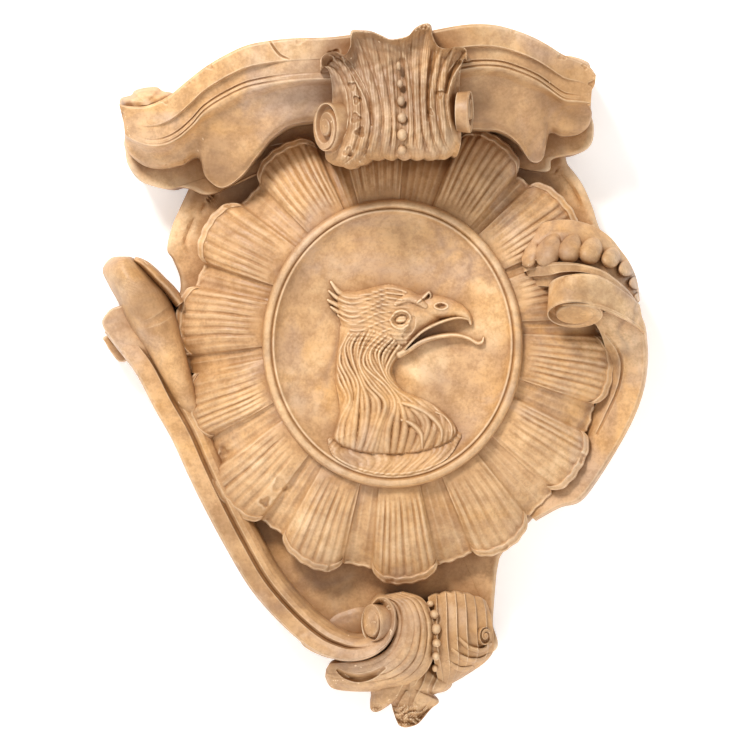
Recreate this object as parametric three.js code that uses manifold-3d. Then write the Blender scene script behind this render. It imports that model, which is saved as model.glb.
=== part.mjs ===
// A rococo cartouche carved from one block of veined marble: an oval medallion
// with an eagle's head, a fluted shell collar round it, a serpentine crest above,
// and scrolls and acanthus leaves to the sides and below. Its flat back beds on a wall.
// Millimetres. X runs to the viewer's right, Z up, and the front looks along -Y.
// The origin is on the back face, behind the middle of the medallion.
import * as THREE from "three";
import { LoftGeometry } from "three/addons/geometries/LoftGeometry.js";
import { mergeVertices } from "three/addons/utils/BufferGeometryUtils.js";
import Module from "manifold-3d";

// The carver's drawing is squared up: places on the face are counted in squares.
const square = 8;
// The drawing shows the carving as the eye sees it from in front, at this distance.
const eyeDistance = 3200;
const eyeAt = [-1.8, -2.7];

// How far each part stands out from the wall.
const groundRise = 32;
const crestBackRise = 44;
const medallionRise = 85;
const dishDepth = 15;
const collarInnerRise = 77;
const collarOuterRise = 57;
const crestEndRise = 92;
const crestMiddleRise = 128;
const crestBossRise = 126;
const crestStubRise = 48;
const rightRollRise = 112;
const rightScrollRise = 52;
const leftScrollRise = 62;
const leftBulbRise = 84;

// The medallion and its collar.
const medallionHalfWidth = 104;
const medallionHalfHeight = 115;
const medallionRim = 11;
const collarHalfWidth = 179;
const collarHalfHeight = 189;
const collarLip = 3.5;
const collarEdgeThickness = 7;
const collarSwell = 7;
const narrowLobeSink = 6;
const narrowEdgeSink = 4;
const fluteDepth = 2.2;
const flutesPerLobe = 5;
const leafFluteDepth = 2.4;

// The crest's moulding and the relief of the carving.
const fasciaHeight = 19;
const bandHeight = 18;
const filletHeight = 5;
const fasciaStep = 8;
const filletDrop = 13;
const hollowDrop = 29;
const crestFootDrop = 42;
const eagleRelief = 15;
const lockWidth = 7;
const bolsterRadius = 18;
const bolsterRise = 138;
const beadRadius = 4.6;
const footRollRadius = 15;
const footRollRise = 84;
const footVoluteRadius = 25;
const rightRollRadius = 20;
const rightBendDrop = 12;
const rightCapDrop = 30;
const gadroonDepth = 20;

const quarter = Math.PI / 2;
const obliqueTurn = THREE.MathUtils.degToRad(30);

const wasm = await Module();
wasm.setup();

// A point of the drawing, in squares, that stands rise millimetres from the wall.
function at(x, z, rise) {
  const nearer = 1 - (rise - medallionRise) / eyeDistance;
  return new THREE.Vector3(
    (eyeAt[0] + (x - eyeAt[0]) * nearer) * square,
    -rise,
    (eyeAt[1] + (z - eyeAt[1]) * nearer) * square,
  );
}

// A closed geometry as a solid with its faces outwards.
function solid(geometry) {
  const bare = new THREE.BufferGeometry();
  bare.setAttribute("position", geometry.getAttribute("position"));
  bare.setIndex(geometry.index);
  const merged = mergeVertices(bare, 1e-3);
  const position = merged.attributes.position;
  const corners = merged.index.array;
  const kept = [];
  const [a, b, c] = [new THREE.Vector3(), new THREE.Vector3(), new THREE.Vector3()];
  let volume = 0;
  for (let i = 0; i < corners.length; i += 3) {
    const [p, q, r] = corners.slice(i, i + 3);
    if (p === q || q === r || r === p) continue;
    kept.push(p, q, r);
    a.fromBufferAttribute(position, p);
    b.fromBufferAttribute(position, q);
    c.fromBufferAttribute(position, r);
    volume += a.dot(b.cross(c));
  }
  if (volume < 0) kept.reverse();
  return new wasm.Manifold(
    new wasm.Mesh({
      numProp: 3,
      vertProperties: position.array,
      triVerts: new Uint32Array(kept),
    }),
  );
}

const join = (solids) => solids.reduce((whole, one) => whole.add(one));

// A skin over a row of rings, closed at each end by a fan to the ring's middle, or
// by a flat cap where the end rings lie in a plane.
function skin(sections, flatEnds = false) {
  if (flatEnds) {
    return solid(new LoftGeometry(sections, { capStart: true, capEnd: true }));
  }
  const point = (ring) => {
    const middle = ring.reduce((sum, p) => sum.add(p), new THREE.Vector3());
    middle.divideScalar(ring.length);
    return ring.map(() => middle);
  };
  const last = sections[sections.length - 1];
  return solid(new LoftGeometry([point(sections[0]), ...sections, point(last)]));
}

const mix = THREE.MathUtils.lerp;
const ease = THREE.MathUtils.smoothstep;
const flat = (points) => points.map(([x, z]) => new THREE.Vector2(x, z));

// A raised form over an outline: rows of [share of the outline's size, rise].
function mound(outline, rows) {
  const ring = flat(outline);
  if (THREE.ShapeUtils.isClockWise(ring)) ring.reverse();
  const middle = ring.reduce((sum, p) => sum.add(p), new THREE.Vector2());
  middle.divideScalar(ring.length);
  return skin(
    rows.map(([share, rise]) =>
      ring.map((p) => at(mix(middle.x, p.x, share), mix(middle.y, p.y, share), rise)),
    ),
    true,
  );
}

const roundSection = [[-1, 0], [-0.72, 0.66], [0, 1], [0.72, 0.66], [1, 0]];
const sharpSection = [[-1, 0], [0, 1], [1, 0]];

// A ridge along a path of [x, z, half width, rise], with its foot at one depth.
function ridge(path, foot, steps = 5, section = roundSection) {
  const line = new THREE.SplineCurve(flat(path));
  const size = new THREE.SplineCurve(flat(path.map((p) => [p[2], p[3]])));
  const sections = [];
  for (let i = 0; i <= steps; i++) {
    const t = i / steps;
    const p = line.getPoint(t);
    const along = line.getTangent(t);
    const [half, rise] = size.getPoint(t).toArray();
    sections.push(
      section.map(([across, up]) =>
        at(
          p.x - along.y * across * half,
          p.y + along.x * across * half,
          mix(foot, rise, up),
        ),
      ),
    );
  }
  return skin(sections);
}

// A ball or egg at a place of the drawing, half sizes in squares and millimetres.
function egg(x, z, rise, halfWidth, halfHeight, halfDepth, turn = 0) {
  const ball = new THREE.SphereGeometry(1, 7, 5);
  ball.scale(halfWidth * square, halfDepth, halfHeight * square);
  ball.rotateY(turn);
  const place = at(x, z, rise);
  return solid(ball.translate(place.x, place.y, place.z));
}

// The short roll that ends a scroll, seen on its face: a rim, a sunk ring and an eye.
// It starts with its face up, tips forward about X by lean, then turns about Z.
function volute({ x, z, rise, radius, length, lean, turn = 0 }) {
  const eye = radius * 0.36;
  const sunk = length * 0.22;
  const profile = [
    [0, 0], [radius * 0.8, 0], [radius * 0.94, length - sunk], [radius, length],
    [radius * 0.8, length], [radius * 0.72, length - sunk], [eye, length - sunk],
    [eye, length], [0, length],
  ];
  const lathe = new THREE.LatheGeometry(
    profile.map(([r, y]) => new THREE.Vector2(r, y)),
    12,
  );
  lathe.rotateX(Math.PI / 2).rotateX(lean).rotateZ(turn);
  const place = at(x, z, rise);
  return solid(lathe.translate(place.x, place.y, place.z));
}

// The ground that everything stands on, with its free edges.
function makeGround() {
  const outline = [
    [-19.0, 20.0], [-20.3, 16.3], [-21.2, 14.3], [-22.2, 12.0], [-22.6, 9.9],
    [-22.0, 8.8], [-20.9, 6.3], [-22.4, 1.0], [-21.5, -4.5], [-18.0, -12.0],
    [-14.0, -19.5], [-9.0, -26.5], [-3.5, -30.0], [3.0, -31.5], [10.0, -30.4],
    [10.0, -27.5], [10.2, -24.5], [10.5, -21.6], [11.2, -20.2], [14.5, -16.5],
    [19.4, -11.5], [22.6, -6.0], [24.0, 0.5], [23.0, 7.0], [20.6, 11.9],
    [20.0, 14.0], [19.0, 16.3], [17.6, 18.2], [15.0, 21.0], [0.0, 22.0],
  ];
  return mound(outline, [[1, 0], [1, groundRise - 4], [0.985, groundRise]]);
}

// The back of the crest shows below it as a plain edge, lobed at either end.
function makeCrestBack() {
  const outline = [
    [-26.9, 20.1], [-26.8, 18.6], [-25.9, 17.2], [-24.4, 16.3], [-22.4, 15.9],
    [-20.3, 16.1], [-18.0, 15.4], [-12.0, 18.0], [0.0, 20.0], [10.0, 18.5],
    [15.5, 17.2], [17.2, 19.2], [19.2, 19.7], [20.0, 21.2], [20.0, 22.9],
    [18.6, 24.6], [12.0, 27.0], [0.0, 28.0], [-12.0, 27.0], [-25.0, 22.6],
  ];
  return mound(outline, [[1, 0], [1, crestBackRise - 3], [0.99, crestBackRise]]);
}

// One wing of the crest, from its free end to the leaf. The fascia, the band and
// the fillet hang from the front edge, and the hollow and the swell fill the rest.
function makeWing(top, foot, endTaper, lift) {
  const topLine = new THREE.SplineCurve(flat(top));
  const footLine = new THREE.SplineCurve(flat(foot));
  const stations = 2 * (top.length - 1);
  const sections = [];
  for (let i = 0; i <= stations; i++) {
    const t = i / stations;
    const rise = mix(crestEndRise, crestMiddleRise, ease(t, 0, 1));
    const taper = mix(endTaper, 1, ease(t, 0, 0.3));
    const raised = lift * (1 - ease(t, 0.15, 0.45));
    const [upper, lower] = [topLine.getPoint(t), footLine.getPoint(t)];
    const span = upper.distanceTo(lower);
    const spot = (share, depth) =>
      at(mix(upper.x, lower.x, share), mix(upper.y, lower.y, share), depth);
    const drop = (height) => ((height / square) * taper) / span;
    const fascia = drop(fasciaHeight);
    const band = fascia + drop(bandHeight);
    const fillet = band + drop(filletHeight);
    sections.push([
      at(upper.x, upper.y + raised, 0),
      at(upper.x, upper.y + raised, rise * 0.5),
      spot(0, rise),
      spot(fascia, rise - fasciaStep / 4),
      spot(fascia + 0.02, rise - fasciaStep),
      spot(band, rise - filletDrop + 1),
      spot(fillet, rise - filletDrop),
      spot(fillet + 0.02, rise - filletDrop - 4),
      spot(mix(fillet, 1, 0.35), rise - hollowDrop),
      spot(mix(fillet, 1, 0.75), rise - hollowDrop),
      spot(1, rise - crestFootDrop),
      spot(1, 0),
    ]);
  }
  return skin(sections);
}

function makeCrest() {
  const leftTop = [
    [-27.4, 24.2], [-25.8, 24.0], [-23.9, 24.4], [-21.5, 25.7], [-18.8, 28.0],
    [-15.6, 29.8], [-12.3, 30.6], [-8.8, 31.0], [-3.0, 31.5],
  ];
  const leftFoot = [
    [-26.8, 20.3], [-25.7, 18.8], [-23.0, 17.9], [-19.5, 19.0], [-17.1, 16.1],
    [-14.3, 18.3], [-11.7, 21.5], [-8.5, 22.6], [-3.0, 22.6],
  ];
  const rightTop = [
    [20.3, 27.2], [19.5, 27.8], [18.0, 28.6], [16.4, 29.5], [14.0, 31.0],
    [10.9, 32.2], [7.7, 32.5], [3.6, 31.7],
  ];
  const rightFoot = [
    [19.8, 23.1], [19.0, 21.6], [17.5, 21.2], [15.7, 21.4], [14.5, 18.3],
    [11.8, 21.3], [8.7, 21.9], [3.6, 22.0],
  ];
  const boss = [[-3.6, 27, 3.6, crestBossRise], [4.3, 27, 3.6, crestBossRise]];
  return join([
    makeCrestBack(),
    makeWing(leftTop, leftFoot, 0.45, 1.0),
    makeWing(rightTop, rightFoot, 0.6, 0.4),
    ridge(boss, 0, 2),
    egg(-23.9, 25.5, crestStubRise, 1.9, 0.75, crestStubRise / 4),
    egg(18.6, 28.5, crestStubRise, 1.2, 0.7, crestStubRise / 4),
  ]);
}

// The lobes of the collar: [bearing of the middle in degrees, reach as a share].
const lobes = [
  [-6, 0.98], [27, 1.02], [50, 1.0], [72, 0.95], [95, 0.985], [121, 0.975],
  [148.5, 0.98], [177, 0.99], [203.5, 0.99], [229, 1.0], [255, 0.96], [278, 0.99],
  [303, 1.0], [329, 1.01],
];

// One column of the collar: its bearing, its reach, and how far its face and its edge
// are sunk.
function collarColumns() {
  const columns = [];
  const half = 9;
  lobes.forEach(([bearing, reach], i) => {
    const next = lobes[(i + 1) % lobes.length];
    const nextBearing = next[0] + (i === lobes.length - 1 ? 360 : 0);
    const parts = 2 * flutesPerLobe;
    for (let j = 0; j <= parts; j++) {
      const across = (2 * j) / parts - 1;
      columns.push({
        angle: bearing + half * across,
        reach: reach * (1 - 0.035 * across ** 4),
        sunk: 1.5 * across ** 2 + (j % 2 ? 0 : fluteDepth),
        edgeSunk: 0,
      });
    }
    for (const share of [0.15, 0.85]) {
      columns.push({
        angle: mix(bearing + half, nextBearing - half, share),
        reach: mix(reach, next[1], share) * 0.93,
        sunk: narrowLobeSink,
        edgeSunk: narrowEdgeSink,
      });
    }
  });
  return columns;
}

function makeCollar() {
  const columns = collarColumns();
  const [wide, high] = [collarHalfWidth / square, collarHalfHeight / square];
  const lipShare = collarLip / collarHalfWidth;
  const inner = medallionHalfWidth / collarHalfWidth - 0.03;
  const ring = (share, rise, lip = 0) =>
    columns.map((column) => {
      const turn = THREE.MathUtils.degToRad(column.angle);
      const far = share * (share > inner ? column.reach : 1) - lip;
      return at(
        0.1 + Math.sin(turn) * wide * far,
        -0.3 + Math.cos(turn) * high * far,
        rise(column),
      );
    });
  const face = (share) => {
    const t = (share - inner) / (1 - inner);
    const plain = mix(collarInnerRise, collarOuterRise, t);
    const swell = collarSwell * Math.sin(Math.PI * t);
    return ({ sunk }) => plain + swell - sunk * ease(t, -0.5, 0.6);
  };
  const edge = (drop) => ({ edgeSunk }) => collarOuterRise - edgeSunk - drop;
  return skin([
    ring(0.3, () => groundRise - 12),
    ring(0.95, () => groundRise - 6),
    ring(1, edge(collarEdgeThickness)),
    ring(1, edge(0), lipShare),
    ring(0.8, face(0.8)),
    ring(inner, face(inner)),
    ring(0.3, () => collarInnerRise - 20),
  ]);
}

// The medallion: a rim round a dished oval field.
function makeMedallion() {
  const sides = 32;
  const [wide, high] = [medallionHalfWidth, medallionHalfHeight];
  const ring = (inset, rise) => {
    const points = [];
    for (let i = 0; i < sides; i++) {
      const turn = (2 * Math.PI * i) / sides;
      points.push(
        at(
          (Math.sin(turn) * (wide - inset)) / square,
          0.45 + (Math.cos(turn) * (high - inset)) / square,
          rise,
        ),
      );
    }
    return points;
  };
  const floor = medallionRise - dishDepth;
  return skin([
    ring(0, groundRise - 12),
    ring(0, medallionRise - 6),
    ring(medallionRim * 0.25, medallionRise),
    ring(medallionRim * 0.7, medallionRise),
    ring(medallionRim, medallionRise - 5),
    ring(medallionRim * 2.4, floor + 2),
    ring(medallionRim * 5, floor),
  ]);
}

// The eagle's head on the medallion, in profile, with its beak open.
function makeEagle() {
  const field = medallionRise - dishDepth - 2;
  const top = field + eagleRelief;
  const head = [
    [-5.4, 5.3], [-4.1, 5.6], [-2.8, 6.0], [-1.3, 6.3], [0.2, 6.2], [1.4, 5.8],
    [2.7, 5.0], [4.0, 4.6], [4.4, 3.4], [3.5, 2.2], [2.3, 1.3], [1.2, 0.1],
    [0.4, -1.4], [-1.5, -2.0], [-4.0, -1.4], [-5.4, 1.0],
  ];
  const neck = [
    [-4.9, 2.6], [-5.5, 0.6], [-5.8, -1.8], [-5.7, -4.0], [-5.4, -6.0], [-5.7, -8.2],
    [-5.8, -10.2], [-4.8, -11.4], [-2.0, -12.2], [1.0, -12.2], [4.0, -11.3],
    [6.0, -9.6], [6.2, -8.0], [5.0, -6.4], [3.2, -5.2], [1.0, -4.2], [0.2, -2.6],
    [0.6, -0.6], [0.0, 2.0],
  ];
  const back = [[-4.4, 2.0], [-5.2, -1.6], [-5.0, -4.8], [-5.3, -8.0], [-4.6, -10.8]];
  const throat = [[0.6, 0.2], [0.4, -2.4], [1.8, -4.8], [4.6, -6.8], [5.6, -9.6]];
  const upperBeak = [
    [1.6, 3.0, 1.5, top - 1], [4.2, 3.9, 1.0, top], [5.8, 4.1, 0.8, top - 1],
    [7.1, 3.6, 0.55, top - 3], [7.7, 2.6, 0.2, top - 6],
  ];
  const lowerBeak = [
    [0.6, -0.6, 0.7, top - 4], [2.4, 0.5, 0.45, top - 4], [4.4, 1.2, 0.36, top - 5],
    [6.4, 1.5, 0.3, top - 6], [7.7, 1.0, 0.28, top - 7], [8.8, 0.7, 0.14, top - 9],
  ];
  const horn = [[3.0, 4.7, 0.4, top - 2], [3.7, 5.3, 0.3, top - 4], [3.7, 5.8, 0.1, top - 8]];
  const torse = [
    [-5.4, -10.4, 0.6, top - 6], [-2.6, -11.9, 0.7, top - 4], [0.4, -12.3, 0.7, top - 4],
    [3.6, -11.5, 0.7, top - 4], [5.8, -9.9, 0.6, top - 6],
  ];
  const half = lockWidth / square / 2;
  const locks = [];
  const count = 8;
  for (let i = 0; i < count; i++) {
    const share = i / (count - 1);
    const swell = top - 3 - 5 * Math.abs(share - 0.5);
    locks.push(
      ridge(
        back.map(([x, z], k) => [
          mix(x, throat[k][0], share) + 0.25 * Math.sin(2.4 * k + i),
          mix(z, throat[k][1], share),
          half * (k === 4 ? 0.5 : 1),
          swell - (k === 4 ? 3 : 0),
        ]),
        field,
        5,
        sharpSection,
      ),
    );
  }
  const crestFeathers = [0, 1, 2].map((i) =>
    ridge(
      [
        [-1.4, 5.0 - i * 0.9, 0.55, top],
        [-4.2, 5.2 - i * 0.9, 0.55, top - 3],
        [-6.1, 6.3 - i * 1.0, 0.12, top - 8],
      ],
      field,
      4,
      sharpSection,
    ),
  );
  return join([
    mound(head, [[1, field - 4], [1, field + 5], [0.84, top - 4], [0.5, top - 1]]),
    mound(neck, [[1, field - 4], [1, field + 4], [0.8, top - 6]]),
    ridge(upperBeak, field),
    ridge(lowerBeak, field),
    ridge(horn, field, 4),
    ridge(torse, field),
    egg(0.7, 2.8, top - 1, 0.75, 0.65, 3),
    ...crestFeathers,
    ...locks,
  ]);
}

// A fluted leaf. Its free edge runs through the tips, and each row across it, from
// the tips inwards, is [z, rise, left x, right x, how far it still follows the tips].
function leaf(tips, rows, flute, back) {
  const last = tips.length - 1;
  const sections = rows.map(([z, rise, left, right, follow]) => {
    const front = tips.map(([x, tipZ], i) =>
      at(
        mix(mix(left, right, i / last), x, follow),
        mix(z, tipZ, follow),
        rise + (i % 2 ? flute : -flute),
      ),
    );
    return [...front, at(right, z, back), at(left, z, back)];
  });
  return skin(sections);
}

// The leaf over the middle of the crest, turned over a roll with a volute at each end.
function makeTopLeaf() {
  const z = 22.2;
  const front = bolsterRise + bolsterRadius;
  const tips = [
    [-7.1, 28.2], [-6.4, 29.3], [-5.0, 29.6], [-4.2, 31.8], [-2.4, 31.7],
    [-1.2, 31.2], [0.3, 30.8], [1.6, 31.3], [2.5, 32.4], [3.8, 32.3], [4.4, 30.6],
    [5.4, 30.2], [6.3, 30.1], [7.4, 29.6], [7.2, 28.8],
  ];
  const rows = [
    [30.6, front - 6, -6.6, 6.6, 1],
    [29.4, front - 16, -6.0, 6.2, 0.72],
    [27.2, front - 22, -5.4, 5.8, 0.3],
    [25.0, front - 14, -5.8, 5.9, 0],
    [23.4, front - 3, -6.4, 6.3, 0],
    [21.4, front, -6.6, 6.6, 0],
    [19.6, front - 10, -6.0, 6.4, 0],
    [18.5, front - 26, -4.8, 5.8, 0],
    [19.4, front - 44, -4.4, 5.4, 0],
  ];
  const beads = [0, 1, 2, 3].map((i) => {
    const share = i / 3;
    const rise = front - 9 + share + 9 * Math.sin(Math.PI * share);
    return egg(0.9, mix(24.6, 19.4, share), rise, 0.55, 0.7, beadRadius);
  });
  const roll = { z, rise: bolsterRise - 4, radius: bolsterRadius * 1.12, lean: quarter };
  const [leftTurn, rightTurn] = [obliqueTurn - quarter, quarter + obliqueTurn / 3];
  return join([
    leaf(tips, rows, leafFluteDepth, 20),
    volute({ ...roll, x: -5.6, length: bolsterRadius, turn: leftTurn }),
    volute({ ...roll, x: 6.2, length: bolsterRadius * 0.8, turn: rightTurn }),
    ...beads,
  ]);
}

// The long scroll down the left side: a bulb above, a band, and a volute below.
function makeLeftScroll() {
  const outer = [
    [-28.6, 1.4], [-26.6, -1.0], [-24.8, -4.4], [-23.0, -7.6], [-21.4, -10.6],
    [-19.9, -14.0], [-18.7, -16.5], [-16.8, -19.9], [-14.3, -24.2], [-12.3, -26.5],
    [-9.3, -29.3], [-6.3, -31.2], [-3.8, -31.4],
  ];
  const width = [3.6, 4.4, 4.6, 4.4, 4.2, 4.2, 4.0, 3.8, 3.6, 3.6, 3.8, 3.6, 2.6];
  const line = new THREE.SplineCurve(flat(outer));
  const widths = new THREE.SplineCurve(flat(width.map((w, i) => [i, w])));
  const sections = [];
  const steps = 15;
  for (let i = 0; i <= steps; i++) {
    const t = i / steps;
    const p = line.getPoint(t);
    const along = line.getTangent(t);
    const wide = widths.getPoint(t).y;
    const rise = leftScrollRise + 10 * ease(t, 0.65, 1);
    const spot = (share, depth) =>
      at(p.x - along.y * share * wide, p.y + along.x * share * wide, depth);
    sections.push([
      spot(0.04, 0),
      spot(0, rise * 0.6),
      spot(0.06, rise - 5),
      spot(0.22, rise),
      spot(0.38, rise - 2),
      spot(0.43, rise - 8),
      spot(0.52, rise - 9),
      spot(0.6, rise - 5),
      spot(0.92, rise - 12),
      spot(1.25, groundRise + 8),
      spot(1.25, 0),
    ]);
  }
  const bulb = [
    [-29.0, 7.6], [-28.8, 8.4], [-28.2, 8.9], [-27.3, 9.2], [-26.4, 9.2],
    [-25.7, 8.8], [-24.9, 8.7], [-24.2, 8.3], [-22.6, 6.7], [-21.4, 5.3],
    [-21.0, 3.0], [-22.6, 1.2], [-25.0, 1.6], [-27.2, 3.4], [-27.4, 4.8],
    [-27.6, 5.4], [-28.2, 6.2], [-28.7, 6.6],
  ];
  const heel = [
    [-27.4, 4.2], [-28.2, 3.9], [-28.8, 3.3], [-29.1, 2.5], [-28.9, 1.6],
    [-28.3, 0.8], [-27.4, -0.6], [-26.2, -1.4], [-24.6, -1.0], [-23.6, 1.0],
    [-24.6, 3.2],
  ];
  const stub = [
    [-28.8, 1.2], [-28.7, 0.4], [-28.3, -0.2], [-27.6, -1.2], [-27.2, -1.4],
    [-26.4, -1.1], [-25.4, 0.4], [-27.0, 2.0],
  ];
  return join([
    skin(sections),
    mound(stub, [[0.9, 0], [1, groundRise - 8], [0.92, groundRise]]),
    mound(bulb, [[0.9, 0], [1, leftBulbRise - 34], [0.98, leftBulbRise - 12],
      [0.8, leftBulbRise - 3], [0.45, leftBulbRise]]),
    mound(heel, [[0.9, 0], [1, leftScrollRise - 22], [0.96, leftScrollRise - 4],
      [0.72, leftScrollRise + 3]]),
  ]);
}

// The scroll on the right: its band rises along the collar, bends over and ends in a
// short upright roll whose lower face leans to the viewer, with gadroons above it.
function makeRightScroll() {
  const rise = rightScrollRise;
  const band = [
    [24.0, 1.6, 1.6, rise + 36], [24.2, -1.0, 1.5, rise + 24],
    [24.0, -3.6, 1.4, rise + 14], [23.0, -6.6, 1.4, rise + 6],
    [21.3, -9.8, 1.4, rise], [19.2, -13.0, 1.4, rise - 2],
    [17.2, -15.1, 1.3, rise - 4], [14.6, -16.9, 1.2, rise - 8],
  ];
  const bend = [
    [16.2, 7.4], [17.6, 8.0], [19.6, 8.2], [21.6, 7.6], [23.4, 6.4], [24.5, 5.0],
    [25.1, 3.2], [25.2, 1.4], [25.0, 0.2], [23.8, 1.2], [22.2, 2.9], [20.4, 3.9],
    [18.2, 4.3], [16.0, 4.2],
  ];
  const back = [
    [12.9, 9.2], [12.9, 10.2], [13.4, 11.1], [14.3, 11.8], [16.3, 12.8],
    [18.9, 12.5], [21.3, 11.2], [22.7, 9.7], [23.9, 8.1], [24.5, 6.2],
    [22.0, 5.6], [16.0, 5.8], [13.3, 7.5],
  ];
  // Each gadroon: [x, z, half width, half height, lean].
  const gadroons = [
    [13.7, 9.5, 0.6, 1.7, 0.15], [15.2, 9.9, 0.8, 1.9, 0.08],
    [17.3, 10.1, 1.0, 1.8, -0.15], [19.6, 9.7, 1.1, 1.7, -0.45],
    [21.6, 8.9, 0.9, 1.0, -0.6], [23.0, 8.0, 0.75, 0.85, -0.6],
    [24.0, 6.4, 0.6, 0.75, -0.6],
  ];
  const fillet = [
    [12.9, 7.6], [14.6, 8.1], [17.2, 8.5], [20.0, 8.4], [22.0, 7.6], [23.6, 6.2],
    [24.4, 5.0], [23.0, 5.2], [20.0, 7.0], [15.0, 6.6],
  ];
  const top = rightRollRise;
  const bendTop = top - rightBendDrop;
  const capTop = top - rightCapDrop;
  const faceLean = 2 * quarter - obliqueTurn * 0.65;
  return join([
    ridge(band, 8, 10),
    mound(bend, [[0.9, 0], [1, bendTop - 38], [1, bendTop - 10], [0.86, bendTop]]),
    mound(back, [[0.95, 0], [1, capTop - 12], [0.94, capTop]]),
    mound(fillet, [[1, 10], [1, capTop + 8], [0.96, capTop + 12]]),
    volute({ x: 18.1, z: 7.4, rise: top - 26, radius: rightRollRadius,
      length: rightRollRadius * 2, lean: faceLean }),
    ...gadroons.map(([x, z, wide, high, lean]) =>
      egg(x, z, capTop - 2, wide, high, gadroonDepth, lean)),
  ]);
}

// The leaf below, turned over a small roll: the left volute ends the long scroll, and
// the leaf spreads downwards on either side of a row of beads to a broken tip.
function makeFoot() {
  const z = -28.0;
  const front = footRollRise + footRollRadius * 1.3;
  const tips = [
    [-5.9, -31.8], [-6.7, -32.8], [-5.6, -34.1], [-2.4, -34.2], [-2.3, -35.9],
    [-0.6, -35.6], [0.4, -37.4], [2.0, -38.1], [3.6, -36.2], [4.0, -34.9],
    [5.6, -33.8], [6.4, -32.9], [8.0, -32.2], [9.4, -31.3], [10.0, -30.0],
  ];
  const rows = [
    [-34.0, groundRise + 16, -4.0, 9.4, 1],
    [-33.0, footRollRise - 12, -3.4, 9.2, 0.75],
    [-31.6, footRollRise - 2, -2.6, 9.6, 0.4],
    [-30.2, footRollRise + 8, -2.0, 9.8, 0.12],
    [z - 0.6, front - 2, -1.0, 9.9, 0],
    [z + 1.0, front, -0.6, 9.9, 0],
    [z + 2.4, front - 10, 0.2, 9.8, 0],
    [z + 3.2, front - 28, 1.0, 9.4, 0],
    [z + 2.6, groundRise, 1.0, 9.4, 0],
  ];
  const beads = [0, 1, 2, 3, 4].map((i) => {
    const share = i / 4;
    const rise = front - 12 - 3 * share + 12 * Math.sin(Math.PI * share);
    const [x, height] = [mix(4.3, 3.7, share), mix(-25.2, -31.2, share)];
    return egg(x, height, rise, 0.45, 0.5, beadRadius);
  });
  const leftTurn = 1.1 * obliqueTurn - quarter;
  const rightTurn = quarter + obliqueTurn / 3;
  return join([
    leaf(tips, rows, leafFluteDepth, 4),
    volute({ x: -0.4, z: z + 0.1, rise: footRollRise - 20, radius: footVoluteRadius,
      length: footRollRadius * 1.6, lean: quarter, turn: leftTurn }),
    volute({ x: 8.9, z: z - 1.6, rise: footRollRise - 4, radius: footRollRadius,
      length: footRollRadius * 0.6, lean: quarter, turn: rightTurn }),
    ...beads,
  ]);
}

const whole = join([
  makeGround(),
  makeCrest(),
  makeCollar(),
  makeMedallion(),
  makeEagle(),
  makeTopLeaf(),
  makeLeftScroll(),
  makeRightScroll(),
  makeFoot(),
]);

const surface = whole.getMesh();
const geometry = new THREE.BufferGeometry();
geometry.setAttribute(
  "position",
  new THREE.BufferAttribute(surface.vertProperties, 3),
);
geometry.setIndex(new THREE.BufferAttribute(surface.triVerts, 1));
geometry.computeVertexNormals();

const marble = new THREE.MeshStandardMaterial({
  color: 0xcda578,
  roughness: 0.5,
  metalness: 0,
});
const cartouche = new THREE.Mesh(geometry, marble);
cartouche.name = "cartouche";

const group = new THREE.Group();
group.add(cartouche);
export default group;
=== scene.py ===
# %% [markdown]
# # A rococo cartouche in veined marble
#
# This lesson dresses a carved wall cartouche: an oval medallion with an eagle's head,
# a fluted shell collar, a serpentine crest, acanthus leaves and scrolls. The packed
# frame gives the block's place and size. Everything here is cut a little finer than
# the frame, in the same metres, and stays inside it.

# %% Load the frame
import math

import bmesh
import bpy
import numpy as np
from mathutils import Matrix, Vector


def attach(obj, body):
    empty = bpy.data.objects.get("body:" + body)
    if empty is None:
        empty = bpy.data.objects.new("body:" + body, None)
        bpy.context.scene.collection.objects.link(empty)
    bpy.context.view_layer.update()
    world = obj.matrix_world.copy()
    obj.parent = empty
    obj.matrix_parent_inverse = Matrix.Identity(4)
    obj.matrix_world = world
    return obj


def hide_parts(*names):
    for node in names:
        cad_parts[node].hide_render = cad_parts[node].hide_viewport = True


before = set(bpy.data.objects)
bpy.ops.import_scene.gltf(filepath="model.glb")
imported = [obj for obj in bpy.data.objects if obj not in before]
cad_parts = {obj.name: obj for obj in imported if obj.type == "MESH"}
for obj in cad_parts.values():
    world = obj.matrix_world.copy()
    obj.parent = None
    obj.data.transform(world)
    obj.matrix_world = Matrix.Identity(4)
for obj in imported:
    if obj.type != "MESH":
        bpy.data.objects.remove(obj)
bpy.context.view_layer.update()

# %% [markdown]
# ## The carver's drawing
#
# A carver works from a full-size drawing, seen from one eye. Places are counted from
# its top left corner, in points of 0.8 mm. A point that stands further out from the
# wall looks larger to the eye, so `at` draws it in by the same share. This keeps the
# outlines true from in front, and the depths true from the side.

# %% Places on the drawing
MM = 0.001
POINT_MM = 0.8
POINT = POINT_MM * MM
ORIGIN = (393.0, 348.0)
EYE = (375.0, 375.0)
EYE_DISTANCE = 3.2
TRUE_RISE = 85 * MM


def nearness(rise):
    """How much a point is drawn in for standing rise millimetres from the wall."""
    return 1 - (np.asarray(rise) * MM - TRUE_RISE) / EYE_DISTANCE


def at(x, y, rise):
    """Metres for a place of the drawing that stands rise millimetres from the wall."""
    x, y, rise = np.broadcast_arrays(x, y, rise)
    nearer = nearness(rise)
    across = EYE[0] - ORIGIN[0] + (x - EYE[0]) * nearer
    up = ORIGIN[1] - EYE[1] + (EYE[1] - y) * nearer
    return np.stack([across * POINT, -rise * MM, up * POINT], axis=-1)


print("the drawing's middle lies at", at(375, 375, 85))

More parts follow.
